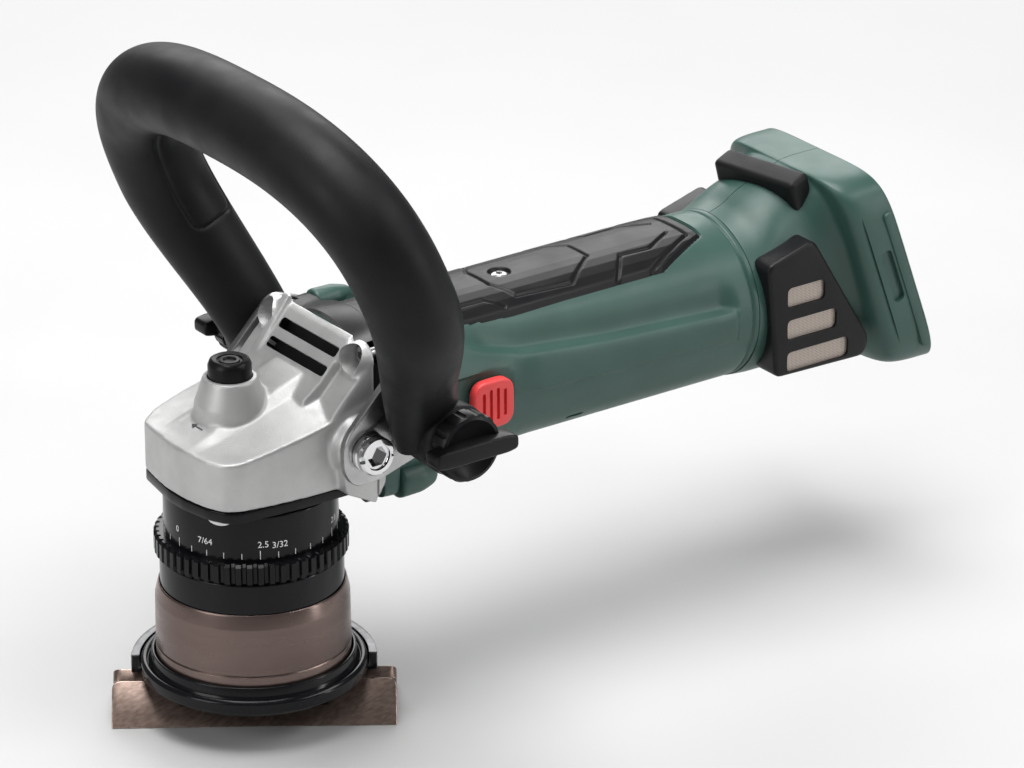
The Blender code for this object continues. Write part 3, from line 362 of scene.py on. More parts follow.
def make_looks():
    along = math.radians(-RAIL_TURN)
    brushed = {"stretch": (0.05, 1.0, 1.0), "turn": along}
    return {
        "green": make_look("green_plastic", (0.031, 0.078, 0.064), (0.037, 0.090, 0.074), (0.36, 0.44),
                           grain=3200, depth=0.00005, specular=0.45),
        "black": make_look("black_plastic", (0.006, 0.006, 0.007), (0.010, 0.010, 0.011), (0.30, 0.40),
                           grain=3000, depth=0.00004, specular=0.2),
        "rubber": make_look("soft_grip", (0.005, 0.005, 0.006), (0.009, 0.009, 0.010), (0.42, 0.54),
                            grain=2600, depth=0.00006, specular=0.2),
        "pad": make_look("pad_grip", (0.004, 0.004, 0.005), (0.008, 0.008, 0.009), (0.32, 0.42),
                         grain=3000, depth=0.00005, specular=0.22),
        "cast": make_look("cast_aluminium", (0.50, 0.50, 0.495), (0.56, 0.56, 0.555), (0.40, 0.50),
                          0.55, grain=1500, depth=0.00012, tone_scale=90, specular=0.3),
        "black_metal": make_look("black_anodised", (0.004, 0.004, 0.005), (0.007, 0.007, 0.009),
                                 (0.14, 0.22), 0.0, grain=2500, depth=0.00001, specular=0.22),
        "bronze": make_look("coated_steel", (0.145, 0.103, 0.092), (0.18, 0.132, 0.118), (0.24, 0.33), 0.85,
                            grain=900, depth=0.00001, tone_scale=22, stretch=(0.6, 0.6, 4.0)),
        "rail": make_look("rail_steel", (0.16, 0.112, 0.092), (0.235, 0.175, 0.148), (0.30, 0.44), 0.75,
                          grain=2200, depth=0.00003, tone_scale=900, **brushed),
        "rail_edge": make_look("rail_edge", (0.30, 0.23, 0.19), (0.46, 0.37, 0.32), (0.24, 0.34), 0.9,
                               grain=1500, depth=0.00002, tone_scale=300, **brushed),
        "steel": make_look("bright_steel", (0.42, 0.42, 0.42), (0.50, 0.50, 0.50), (0.26, 0.34), 1.0,
                           grain=2200, depth=0.000008, tone_scale=120),
        "chrome": make_look("chrome", (0.72, 0.72, 0.73), (0.82, 0.82, 0.83), (0.06, 0.12), 1.0,
                            grain=800, depth=0.000005, tone_scale=120),
        "red": make_look("red_plastic", (0.74, 0.055, 0.055), (0.80, 0.070, 0.068), (0.36, 0.44),
                         grain=3000, depth=0.00003),
        "white": make_look("white_mark", (0.78, 0.78, 0.78), (0.88, 0.88, 0.88), (0.4, 0.5)),
        "iron": make_look("motor_iron", (0.14, 0.14, 0.15), (0.22, 0.22, 0.23), (0.4, 0.5), 0.8),
        "copper": make_look("copper_winding", (0.45, 0.19, 0.08), (0.62, 0.28, 0.12), (0.3, 0.4), 0.9,
                            tone_scale=600, stretch=(0.1, 1, 1)),
        "graphite": make_look("graphite", (0.04, 0.04, 0.04), (0.07, 0.07, 0.07), (0.5, 0.65)),
        "carbide": make_look("carbide", (0.28, 0.27, 0.24), (0.38, 0.37, 0.33), (0.24, 0.34), 0.9),
        "board": make_look("circuit_board", (0.012, 0.10, 0.03), (0.02, 0.16, 0.05), (0.4, 0.5)),
        "lens": make_look("grey_lens", (0.07, 0.07, 0.075), (0.10, 0.10, 0.105), (0.12, 0.2), coat=0.5),
        # the lip look: a lighter grey metal used as painted highlight on faces of the guard and collar that
        # point up or forward
        "lip": make_look("painted_highlight_black", (0.10, 0.10, 0.105), (0.16, 0.16, 0.165), (0.26, 0.36), 0.7,
                         grain=1800, depth=0.00002, tone_scale=200),
    }


def make_mesh_cloth():
    """The woven steel cloth in the dust filters."""
    n = Nodes("filter_cloth")
    place = n.tree.nodes.new("ShaderNodeTexCoord").outputs["Object"]
    waves = []
    for direction in ("X", "Z"):
        wave = n.add("ShaderNodeTexWave", Scale=520.0, Distortion=1.2, Detail=1.0)
        wave.bands_direction = direction
        n.link(place, wave.inputs["Vector"])
        waves.append(wave.outputs["Fac"])
    both = n.tree.nodes.new("ShaderNodeMath")
    both.operation = "MAXIMUM"
    n.link(waves[0], both.inputs[0])
    n.link(waves[1], both.inputs[1])
    n.link(n.colors(both.outputs[0], (0.13, 0.11, 0.095), (0.52, 0.45, 0.40), 0.1, 0.9),
           n.shader.inputs["Base Color"])
    n.shader.inputs["Metallic"].default_value = 0.5
    n.shader.inputs["Roughness"].default_value = 0.5
    n.bump((both.outputs[0], 0.6, 0.0001))
    return n.material


def paint_cad(looks):
    """Every CAD node gets the look named after its slot; detailed pieces hide the nodes they replace."""
    by_slot = {look.name.split(".")[0]: look for look in looks.values()}
    for node, item in NODES.items():
        item.data.materials.clear()
        item.data.materials.append(by_slot[SLOT_OF[node]])


# ---------------------------------------------------------------- guide shoe, sleeve and depth ring

def make_rail(label, side, looks):
    """A rounded plate that leans at 45 degrees, cut flat where it stands."""
    slope = math.hypot(RAIL_TOP, RAIL_TOP)
    below = 6.0
    half_slope = (slope + below) / 2
    outline = rounded(box_outline(RAIL_LENGTH / 2, half_slope), 3.4, 6)
    plate = prism(outline, -RAIL_THICKNESS, 0)
    middle = (slope - below) / 2 / math.sqrt(2)
    placed(plate, turn=(45, 0, 0))
    placed(plate, (0, -RAIL_FOOT + middle, middle))
    if side > 0:
        placed(plate, turn=(0, 0, 180))
    foot = prism(box_outline(80, 80), -60, 0)
    hole = prism(circle(CUTTER_HOLE, 64), -30, 60)
    plate = combined(plate, [foot, hole])
    bevelled(plate, 0.7, 3, 25, mark=True)
    placed(plate, turn=(0, 0, RAIL_TURN))
    node = f"guide_rail_{label}"
    add_piece(f"rail_plate_{label}", plate, looks["rail"], node, looks["rail_edge"])


def make_shoe(looks):
    make_rail("front", -1, looks)
    make_rail("rear", 1, looks)
    sleeve = SLEEVE_RADIUS + 0.8
    low = RAIL_TOP + 0.7
    outline = [(CUTTER_HOLE + 2, low), (FLANGE_RADIUS - 4, low), (FLANGE_RADIUS - 2, FLANGE_BOTTOM),
               (FLANGE_RADIUS, FLANGE_BOTTOM), (FLANGE_RADIUS, FLANGE_TOP - 0.6),
               (FLANGE_RADIUS - 1.2, FLANGE_TOP + 0.6), (FLANGE_RADIUS - 2.4, FLANGE_TOP + 0.3),
               (sleeve + 2.6, FLANGE_TOP - 1.2), (sleeve + 1.6, FLANGE_TOP + 0.5),
               (sleeve + 1.1, LIP_TOP), (sleeve, LIP_TOP), (sleeve, low + 2.8),
               (CUTTER_HOLE + 2, low + 2.8)]
    flange = lathe(rounded(outline, 0.5, 3), 192)
    outer, reach = RAIL_FOOT + 0.42, 12.0
    top = RAIL_TOP - (RAIL_FOOT - RAIL_TOP) + 0.42
    peak = (outer - top) / 2
    half = [(reach, low + 1), (reach, outer - reach), (peak, outer - peak), (1.7, top + 1.7)]
    saddle = prism(half + [(-w, z) for w, z in reversed(half)], -26, 26, "X", turn=(0, 0, RAIL_TURN))
    saddle = combined(saddle, [prism(circle(CUTTER_HOLE + 2, 64), -30, 60)])
    add_piece("shoe_ring", joined([flange, bevelled(saddle, 0.4)]), looks["black_metal"], "shoe_flange")
    inner, wall = FLANGE_RADIUS + GAP, 3.0
    guard = lathe([(inner - 1.9, low), (inner + wall, low), (inner + wall, FLANGE_TOP),
                   (inner, FLANGE_TOP), (inner, FLANGE_BOTTOM - GAP), (inner - 1.9, FLANGE_BOTTOM - GAP)],
                  192)
    guard = combined(guard, [prism([(-60, -60), (60, -60), (60, 0), (-60, 0)], -5, 40,
                                   turn=(0, 0, RAIL_TURN))])
    bevelled(guard, 0.35, 2, mark=True)
    # the upward faces of the guard take the lighter grey as painted highlight
    for face in guard.faces:
        if face.normal.z > 0.9:
            face.material_index = 1
    add_piece("guard_half_ring", guard, looks["black_metal"], "chip_guard", looks["lip"])


def make_sleeve(looks):
    low = RAIL_TOP + 3.8
    inner = SLEEVE_RADIUS - 1.4
    line = 27.4
    wide = SLEEVE_RADIUS + 0.35
    outline = [(inner, low), (wide, low), (wide, line - 0.35), (wide - 0.45, line), (wide, line + 0.35),
               (SLEEVE_RADIUS + 0.2, SLEEVE_TOP - 5.2), (SLEEVE_RADIUS - 0.9, SLEEVE_TOP - 0.5),
               (SLEEVE_RADIUS - 1.2, SLEEVE_TOP), (inner, SLEEVE_TOP)]
    add_piece("sleeve_shell", lathe(rounded(outline, 0.14, 2), 224), looks["bronze"], "guide_sleeve")
    wide, step, top = inner - GAP, RING_BOTTOM - GAP, PLATE_BOTTOM - GAP
    outline = [(NECK_RADIUS - 3, 30), (wide, 30), (wide, step), (NECK_RADIUS, step), (NECK_RADIUS, top),
               (NECK_RADIUS - 3, top)]
    add_piece("neck_skirt", lathe(rounded(outline, 0.7, 3), 192), looks["black_metal"], "guide_neck")


TICK_STEP = 12.0
SCALE_TURN = -125.3                # how the scale stands, in degrees about the spindle
TICK_START = 8.0 + SCALE_TURN      # one long tick
NUMBERS = [(-53.8, "0", 0.8), (-29.2, "7/64", 0.0), (10.0, "2.5", 0.0), (21.2, "3/32", -0.6),
           (71.0, "2.0", 0.6), (93.0, "5/64", 0.0), (128.0, "1.5", 0.6), (150.0, "1/16", 0.0),
           (188.0, "1.0", 0.6), (210.0, "3/64", 0.0), (248.0, "0.5", 0.6), (272.0, "1/32", 0.0)]


def wrapped(bm, radius, angle, height):
    """Bend a flat drawing, x along and y up, round a drum about the spindle."""
    for vert in bm.verts:
        turn = math.radians(angle) + vert.co.x / radius
        reach = radius + vert.co.z
        vert.co = Vector((reach * math.cos(turn), reach * math.sin(turn), height + vert.co.y))
    return bm


def text_mesh(words, size):
    curve = bpy.data.curves.new("words", "FONT")
    curve.body = words
    curve.size = size
    curve.align_x = "CENTER"
    curve.extrude = 0.03
    curve.resolution_u = 3
    item = linked("words", curve)
    bm = bmesh.new()
    bm.from_mesh(item.to_mesh())
    item.to_mesh_clear()
    bpy.data.objects.remove(item)
    bmesh.ops.remove_doubles(bm, verts=bm.verts, dist=1e-4)
    return bm


def make_depth_ring(looks):
    inner = NECK_RADIUS + GAP
    top = PLATE_BOTTOM - GAP
    knurl_top = RING_BOTTOM + RING_HEIGHT
    drum = lathe(rounded([(inner, RING_BOTTOM + 1), (SCALE_RADIUS, RING_BOTTOM + 1), (SCALE_RADIUS, top),
                          (inner, top)], 0.5, 3), 192)
    teeth = 54
    outline = []
    for tooth in range(teeth):
        for share, depth in ((0.0, 1.0), (0.12, 0.0), (0.58, 0.0), (0.70, 1.0)):
            angle = 2 * math.pi * (tooth + share) / teeth
            radius = RING_RADIUS - 1.0 * depth
            outline.append((radius * math.cos(angle), radius * math.sin(angle)))
    chamfer = [(0, -1.0), (0.9, 0), (RING_HEIGHT - 0.9, 0), (RING_HEIGHT, -1.0)]
    grip = loft([[(x * (1 + inset / RING_RADIUS), y * (1 + inset / RING_RADIUS), RING_BOTTOM + rise)
                  for x, y in outline] for rise, inset in chamfer])
    grip = combined(grip, [prism(circle(SCALE_RADIUS - 0.6, 96), 50, 90)])
    add_piece("ring_grip", joined([drum, grip]), looks["black_metal"], "depth_ring")
    marks = []
    for k in range(int(360 / TICK_STEP)):
        length = 3.2 if k % 5 == 0 else 2.2
        tick = prism(box_outline(0.13, length / 2), 0.0, 0.05)
        marks.append(wrapped(tick, SCALE_RADIUS, TICK_START + k * TICK_STEP,
                             knurl_top + 0.9 + length / 2))
    for angle, words, rise in NUMBERS:
        marks.append(wrapped(text_mesh(words, 3.3), SCALE_RADIUS + 0.02, angle + SCALE_TURN,
                             knurl_top + 5.3 + rise))
    add_piece("ring_scale_marks", joined(marks), looks["white"], "depth_ring", extra=True)


# ---------------------------------------------------------------- gear housing

ROOF_SIDE = [(-33, 107.4), (-20, 108.8), (-6, 112.2), (8.4, 115.5), (19, 117.9), (32, 121)]
ROOF_CREASE = [(-33, 108.4), (-26, 110.0), (-8, 115.6), (6, 119.7), (19, 123.5), (32, 128)]
ROOF_MIDDLE = [(-33, 108.8), (-27, 110.8), (-18, 114.5), (0, 120.5), (17, 126.5), (32, 131)]


def roof_height(x, y):
    """Height of the cast roof, which has a crease 13 mm either side of the middle."""
    side, crease, middle = (along_curve(line, x) for line in (ROOF_SIDE, ROOF_CREASE, ROOF_MIDDLE))
    if y < 13:
        return middle + (crease - middle) * max(0.0, y - 8.5) / 4.5
    return crease + (side - crease) * min(1.0, (y - 13) / 18.5)


def housing_blocks():
    """The overlapping solids that the cast housing is made of."""
    low = PLATE_BOTTOM + PLATE_THICKNESS + GAP
    side = [(-28.6, 23.5), (-31.0, 12.2), (-32.3, 2.6), (-32.3, -6.5), (-30.6, -18.0), (-27.6, -25.4),
            (-22.7, -28.6), (-12.7, -30.4), (0, -31.8), (14.0, -32.3), (31.5, -32.3), (31.5, 32.3),
            (14, 32.3), (-10, 31.2), (-20, 29.6)]
    blocks = [prism(rounded(side, 3.0), low, 108.6)]

    def slab(y_low, y_high, line):
        outline = line + [(line[-1][0], 100), (line[0][0], 100)]
        return prism(outline, y_low, y_high, "Y")

    # the roof climbs to the rear: low shoulders, a crease and a higher middle
    rings = []
    for k in range(33):
        x = -33 + 64.5 * k / 32
        ring = [(x, y, roof_height(x, abs(y))) for y in range(-34, 35)]
        rings.append(ring + [(x, 34, 100), (x, -34, 100)])
    blocks.append(combined(loft(rings), [prism(rounded(side, 3.0), 50, 150)], "INTERSECT"))
    middle = [(10.0, 121.0), (17.5, 126.4), (29.0, 139.2), (31.5, 140.6)]
    blocks.append(slab(-19.5, 20.5, middle))
    # the far rib and the bead ahead of it
    blocks.append(slab(18.6, 22.6, [(8, 120.5), (15, 124.5), (30, 143.0), (31.5, 143.4)]))
    bead = prism(rounded(box_outline(9.0, 2.9), 2.6), -2.4, 2.4, at=(-15.8, 23.0, 107.4), turn=(0, -22, 0))
    blocks.append(bead)
    # the boss round the lock button
    blocks.append(lathe([(0, 100), (13.6, 100), (12.7, 119), (BOSS_RADIUS + 0.3, BOSS_TOP), (0, BOSS_TOP)],
                        96, BUTTON))
    # the lugs of the flange screws and the strong shoulders beside the vents
    for sign in (-1, 1):
        blocks.append(lathe([(0, 24), (5.4, 24), (6.4, 31.5), (0, 31.5)], 40,
                            (0, sign * 25.6, AXIS_HEIGHT + 25.6), ALONG_X))
        foot = [(14.5, 104), (15.6, 90.6), (27.8, 84.2), (32.2, 91.5), (33, 104)]
        blocks.append(flank(rounded(foot, 1.2), sign, 28, 37.2))
        shoulder = [(13, 117), (20.5, 125), (27.0, 131.5), (31.5, 134), (31.5, 112), (13, 112)]
        blocks.append(flank(shoulder, sign, 19.0, 31.6))
        blocks.append(lathe([(0, 26), (12.4, 26), (9.4, 37), (0, 37)], 64, BOLT,
                            (-90 * sign, 0, 0)))
    return blocks


VENTS = [(20.2, 128.9, 2.1), (25.3, 134.8, 2.0)]     # x, height and half width of the vent slots


def make_gear_housing(looks):
    body = cast(housing_blocks(), 0.6, 6)
    low = PLATE_BOTTOM + PLATE_THICKNESS + GAP
    cuts = [prism(box_outline(80, 31.6), low - 20, low)]
    for x, z, half in VENTS:
        cuts.append(prism(rounded(box_outline(half, 17.6), 1.4), -3.4, 12, at=(x, -0.6, z),
                          turn=(0, -48, 0)))
    for sign in (-1, 1):
        cuts.append(lathe([(0, 20), (5.4, 20), (4.7, 32.2), (0, 32.2)], 48,
                          (0, sign * 25.97, AXIS_HEIGHT + 26.5), ALONG_X))
        cuts.append(flank(box_outline(0.5, 5.0, (28.6, 90.0)), sign, 36.4, 50))
        cuts.append(rod(5.4, 25, 50, 48, BOLT,
                          (-90 * sign, 0, 0)))
        bracket = HUB_INNER_FACE - BRACKET_THICKNESS - 3 * GAP
        cuts.append(flank(box_outline(40, 40, (20, 110)), sign, bracket, 80))
    cuts.append(rod(BUTTON_RADIUS + 0.4, 119.8, 140, 72,
                      BUTTON))
    arrow = [(-0.35, -2.6), (0.35, -2.6), (0.35, 1.6), (1.5, 1.6), (0, 4.2), (-1.5, 1.6), (-0.35, 1.6)]
    cuts.append(prism(arrow, -1.2, 1.2, at=(-21.4, -1.5, 112.3), turn=(0, -20, 0)))
    cuts.append(rod(22, 60, 107, 64))
    cuts.append(lathe([(0, 9), (9.5, 9), (9.5, 30), (11.3, 30), (11.3, 60), (0, 60)], 64,
                      AXIS, ALONG_X))
    cuts.append(rod(2.6, 100, 125, 32, (PIN_X, 0, 0)))
    body = combined(body, cuts)
    # the walls and floors of the vent slots take the black plastic as painted shade for the dark inside of
    # the openings
    for face in body.faces:
        middle = face.calc_center_median()
        for x, z, half in VENTS:
            place = Matrix.Rotation(math.radians(48), 3, "Y") @ (middle - Vector((x, -0.6, z)))
            if abs(place.x) < half + 0.05 and abs(place.y) < 17.65 and -3.6 < place.z < -0.5:
                face.material_index = 1
    add_piece("gear_case", body, looks["cast"], "gear_housing", looks["black"], sharp=50)
    # the rear flange of the housing, black with its front lip painted lighter grey as painted highlight,
    # round the motor's end
    collar = add_piece("gear_case_collar", make_collar(), looks["black"], "gear_housing", looks["lip"],
                       extra=True)
    collar.data.materials.append(looks["green"])
    plate = prism(rounded([(-28.4, 23.3), (-32.1, 2.6), (-32.1, -6.5), (-30.0, -19), (-26.8, -25.6),
                           (-22.7, -28.4), (0, -30.4), (30.4, -30.4), (30.4, 30.4), (0, 30.4),
                           (-20, 28.8)], 2.0), PLATE_BOTTOM, PLATE_BOTTOM + PLATE_THICKNESS)
    plate = combined(plate, [prism(circle(13.3, 48), 60, 100)])
    add_piece("gear_case_cover", bevelled(plate, 0.6, 2, 50), looks["black_metal"], "cover_plate")


def make_collar():
    """The flange ring between the cast housing and the motor body, with four screw bays."""
    stations = [(31.2, 0.0), (32.0, 0.9), (41.9, 1.5), (43.2, 0.9)]
    rings = []
    count = 180
    for x, grow in stations:
        ring = []
        for k in range(count):
            theta = 2 * math.pi * k / count
            radius = 32.2 + grow
            for _, place in flange_places():
                away = math.atan2(math.sin(theta - place), math.cos(theta - place))
                radius += 6.2 * math.exp(-(away / math.radians(9.5)) ** 2 * 0.9)
            ring.append((x, radius * math.sin(theta), AXIS_HEIGHT + radius * math.cos(theta)))
        rings.append(ring)
    bm = loft(rings)
    cuts = [rod(24, 20, 60, 96, AXIS, ALONG_X)]
    for (y, z), _ in flange_places():
        cuts.append(rod(4.2, 24, 36.8, 40, (0, y, z), ALONG_X))
    bm = combined(bm, cuts)
    for face in bm.faces:
        middle = face.calc_center_median()
        if middle.z < AXIS_HEIGHT + 6:
            face.material_index = 2
        # faces that point forward take the lighter grey as painted highlight
        elif face.normal.x < -0.5 and middle.x < 32.5:
            face.material_index = 1
    return bm


def flange_places():
    """The flange screws: (y, z) and the angle from the top."""
    places = []
    for rise in (0.715, -0.687):
        for side in (-1, 1):
            y, z = side * 0.7 * (COLLAR_RADIUS + 2.9), rise * (COLLAR_RADIUS + 2.9)
            places.append(((y, AXIS_HEIGHT + z), math.atan2(y, z)))
    return places


def torx(bm, radius, depth, top):
    """Cut a six-lobed socket into the top of a head that lies along Z."""
    outline = []
    for k in range(72):
        angle = 2 * math.pi * k / 72
        reach = radius * (1 + 0.16 * math.cos(6 * angle))
        outline.append((reach * math.cos(angle), reach * math.sin(angle)))
    return combined(bm, [prism(outline, top - depth, top + 3)])


def make_screws(looks):
    head_x = 32.4
    for number, ((y, z), _) in enumerate(flange_places(), 1):
        head = lathe(rounded([(0, 0.0), (3.4, 0.0), (3.4, 2.2), (2.5, 2.9), (0, 2.9)], 0.3, 2)[:-1], 48)
        head = torx(head, 1.55, 1.5, 2.9)
        shank = rod(1.8, -17, 0.2, 24)
        placed(head, turn=(0, -90, 0))
        placed(shank, turn=(0, -90, 0))
        both = placed(joined([head, shank]), (head_x, y, z))
        add_piece(f"flange_screw_torx_{number}", both, looks["steel"], f"flange_screw_{number}")
    head = lathe([(0, 0), (2.9, 0), (2.9, 0.5), (2.2, 0.9), (0, 1.0)], 40)
    add_piece("pad_screw_torx", placed(torx(head, 1.2, 0.7, 1.0), (PAD_SCREW_X, 0, AXIS_HEIGHT + 29.0)),
              looks["steel"], "pad_screw")


def make_button(looks):
    outline = [(0, 124.2), (BUTTON_RADIUS, 124.2), (BUTTON_RADIUS, BUTTON_TOP - 2.2),
               (BUTTON_RADIUS - 0.7, BUTTON_TOP - 0.5), (BUTTON_RADIUS - 1.6, BUTTON_TOP),
               (4.6, BUTTON_TOP - 0.35), (4.3, BUTTON_TOP - 0.9), (3.8, BUTTON_TOP - 0.9),
               (3.5, BUTTON_TOP - 0.4), (2.4, BUTTON_TOP - 0.4), (1.9, BUTTON_TOP - 1.1),
               (0, BUTTON_TOP - 1.3)]
    cap = lathe(outline, 96, BUTTON)
    pin = rod(2.2, 99.5, 125, 32, (PIN_X, 0, 0))
    add_piece("lock_button_cap", joined([cap, pin]), looks["black"], "lock_button",
              sharp=40)


def make_brackets_and_bolts(looks):
    outer = HUB_INNER_FACE - GAP
    inner = outer - BRACKET_THICKNESS
    top = PIVOT_Z + 20
    outline = [(BOLT_X - 10, BOLT_Z - 6), (BOLT_X - 10, BOLT_Z + 6), (PIVOT_X - 8, top + 3),
               (PIVOT_X + 8, top - 3), (PIVOT_X + 12, PIVOT_Z - 2), (PIVOT_X + 5, PIVOT_Z - 12),
               (BOLT_X + 4, BOLT_Z - 12), (BOLT_X - 6, BOLT_Z - 12)]
    for side, label in ((-1, "left"), (1, "right")):
        turn = (-90 * side, 0, 0)
        arm = flank(rounded(outline, 5.0, 5), side, inner, outer)
        hole = prism(circle(5.3, 40, (BOLT_X, BOLT_Z)), -60, 60, "Y")
        stud = prism(circle(4.3, 40, (PIVOT_X, PIVOT_Z)), -60, 60, "Y")
        arm = bevelled(combined(arm, [hole, stud]), 0.5, 3, 40)
        add_piece(f"handle_bracket_{label}_plate", arm, looks["steel"], f"handle_bracket_{label}")
        seat = HUB_INNER_FACE
        outline_bolt = [(0, 26.4), (5.0, 26.4), (5.0, seat), (7.0, seat), (7.0, seat + 1.5),
                        (6.5, seat + 1.9), (6.5, seat + 2.4), (7.0, seat + 2.8), (7.0, seat + 4.9),
                        (6.4, seat + 5.5), (4.9, seat + 5.5), (4.6, seat + 4.7), (0, seat + 4.7)]
        bolt = lathe(outline_bolt, 96)
        hexagon = circle(4.0, 6)
        notches = [prism(box_outline(0.8, 1.1, (x, 0)), seat + 4.2, seat + 8) for x in (-6.2, 6.2)]
        bolt = combined(bolt, [prism(hexagon, seat + 1.6, seat + 9)] + notches)
        placed(bolt, BOLT, turn)
        add_piece(f"side_bolt_{label}_hex", bolt, looks["chrome"], f"side_bolt_{label}")


# ---------------------------------------------------------------- motor housing and its grip pad

PAD_START, PAD_FULL, PAD_END = 44.3, 163.0, 186.5
PAD_SECTION = [(0, 30.5), (5, 30.4), (9, 30.0), (13, 29.1), (16.5, 27.6), (19, 25.7), (21.5, 23.2), (40, 5)]
PAD_GROOVES = [
    [(142.7, -21.3), (151.4, -10.9), (164.2, -11.5), (176.2, -5)],
    [(142.7, 21.3), (151.4, 10.9), (164.2, 11.5), (176.2, 5)],
    [(158.7, -20.3), (181.6, -10), (181.6, 10), (158.7, 20.3)],
    [(70, -14), (89.5, -14.2), (95.5, -18.5)],
    [(70, 14), (89.5, 14.2), (95.5, 18.5)],
    [(97, -7), (102, -16), (126, -17), (140.5, -6), (140.5, 6), (126, 17), (102, 16), (97, 7), (97, -7)],
]


def along_curve(points, value):
    for (a, first), (b, second) in zip(points, points[1:]):
        if value <= b:
            return first + (second - first) * max(value - a, 0) / (b - a)
    return points[-1][1]


def pad_top(y):
    """Height of the pad's top above the motor axis."""
    return along_curve(PAD_SECTION, abs(y))


def pad_half_width(x):
    """The pad keeps its width, then draws in to its straight rear end."""
    return 20.9 - 8.9 * max(0.0, x - PAD_FULL) / (PAD_END - PAD_FULL)


VALLEY = [(70, 50), (79, 54), (96, 62), (131, 68.5), (182, 74), (200, 76)]
PANEL_EDGE = [(90, 94), (104, 95.5), (188, 101)]


def body_radius(x, theta):
    """The motor body's radius at a place along it and an angle in degrees from the top."""
    theta = abs(theta)
    radius = BODY_RADIUS + (COLLAR_RADIUS - BODY_RADIUS) * (1 - ramp(62, 98, x))
    radius -= 0.4 * ramp(100, 125, theta) * ramp(90, 110, x)
    valley = along_curve(VALLEY, x)
    window = ramp(68, 84, x) * (1 - ramp(183, 191, x))
    spread = 12.0 if theta < valley else 5.0
    radius -= 2.3 * window * math.exp(-((theta - valley) / spread) ** 2)
    edge = along_curve(PANEL_EDGE, x)
    panel = ramp(valley + 3, valley + 8, theta) * (1 - ramp(edge - 0.8, edge + 0.8, theta))
    radius += 1.0 * panel * ramp(88, 104, x) * (1 - ramp(188.6, 190.2, x))
    if theta > 86 and x > 88:
        radius -= 0.5 * math.exp(-((theta - 89.6) / 0.6) ** 2) * (1 - panel)
    radius -= 0.7 * math.exp(-((x - 196.6) / 0.5) ** 2)
    return radius


def body_point(x, theta):
    radius = body_radius(x, theta)
    angle = math.radians(theta)
    y, z = radius * math.sin(angle), radius * math.cos(angle)
    if z > 0:
        cap = pad_top(y) + 0.5 * ramp(188, 196, x)
        inside = PAD_START < x < PAD_END and abs(y) < pad_half_width(x) - 0.3
        z = min(z, cap - 1.6 if inside else cap) if abs(y) < 21 else z
    pocket = 62.0 < x < 90.5 and abs(z + 1.5) < 12.0 and y < 0
    if pocket:
        depth = ramp(62.0, 64.0, x) * (1 - ramp(88.8, 90.5, x)) * (1 - ramp(10.2, 12.0, abs(z + 1.5)))
        y = min(y, -30.6) * depth + y * (1 - depth) if y > -30.6 else -30.6 * depth + y * (1 - depth)
    return (x, y, AXIS_HEIGHT + z)


def make_motor_body(looks):
    # even steps round the body, with closer ones over the seam at 89.6 degrees on either side
    thetas = [k * 1.5 for k in range(240) if k not in (60, 180)] + [89.1, 89.6, 90.1, 269.9, 270.4, 270.9]
    thetas = [t - 180 for t in sorted(thetas)]
    spots = [BODY_START + k * 0.94 for k in range(int((BODY_END - BODY_START) / 0.94) + 1)]
    spots = sorted(spots + [195.8, 196.2, 196.6, 197.0, 197.4, BODY_END])
    outer = [[body_point(x, t) for t in thetas] for x in spots]
    inner = [[(x, 28.0 * math.sin(math.radians(t)), AXIS_HEIGHT + 28.0 * math.cos(math.radians(t)))
              for t in thetas] for x in (BODY_END, BODY_START)]
    body = loft(outer + inner, loop=True)
    slots = []
    for side in (-1, 1):
        angle = math.radians(135)
        at = (123.5, side * 31 * math.sin(angle), AXIS_HEIGHT + 31 * math.cos(angle))
        slots.append(prism(rounded(box_outline(3.6, 1.1), 1.0), -2, 3, at=at, turn=(-135 * side, 0, 0)))
    body = combined(body, slots)
    lugs = []
    for (y, z), _ in flange_places():
        wide = 4.8 if z > AXIS_HEIGHT else 6.4
        lug = [(0, BODY_START), (wide, BODY_START), (wide - 0.2, 53), (wide - 1.8, 58.6), (0, 62)]
        lugs.append(lathe(rounded(lug, 1.5, 3), 48, (0, y * 0.97, AXIS_HEIGHT + (z - AXIS_HEIGHT) * 0.97),
                          ALONG_X))
    body = joined([body] + lugs)
    add_piece("motor_shell", body, looks["green"], "motor_housing", sharp=42)


def pad_height(x, y, inset):
    height = pad_top(y) + 0.05
    for line in PAD_GROOVES:
        away = off_line(x, y, line)
        if away < 2.5:
            height -= 0.85 * math.exp(-(away / 0.62) ** 2)
    height -= 1.25 * (1 - ramp(3.4, 4.4, math.hypot(x - PAD_SCREW_X, y)))
    return height - 1.1 * (1 - ramp(0.0, 1.3, inset))


def make_pad(looks):
    rings = []
    across, along = 150, 400
    for i in range(along + 1):
        x = PAD_START + (PAD_END - PAD_START) * i / along
        half = pad_half_width(x)
        ring = []
        for j in range(across + 1):
            y = half * (2 * j / across - 1)
            inset = min(half - abs(y), x - PAD_START, PAD_END - x)
            ring.append((x, y, AXIS_HEIGHT + pad_height(x, y, inset)))
        for j in range(across, -1, -6):
            y = half * (2 * j / across - 1)
            ring.append((x, y, AXIS_HEIGHT + pad_top(y) - 1.9))
        rings.append(ring)
    add_piece("grip_pad", loft(rings), looks["pad"], "top_pad", sharp=60)


def make_switch(looks):
    z, x = AXIS_HEIGHT - 1.5, 79.5
    outline = rounded(box_outline(8.5, 9.0, (x, z)), 6.0, 8)
    switch = bevelled(prism(outline, -35.2, -31.1, "Y"), 0.9, 4, 40)
    slots = [prism(rounded(box_outline(0.65, 6.4 - 0.9 * abs(k - 1.5), (x - 4.5 + 3.0 * k, z)), 0.5), -40,
                   -33.9, "Y") for k in range(4)]
    add_piece("slide_switch_cap", combined(switch, slots), looks["red"], "slide_switch")


# ---------------------------------------------------------------- bow handle

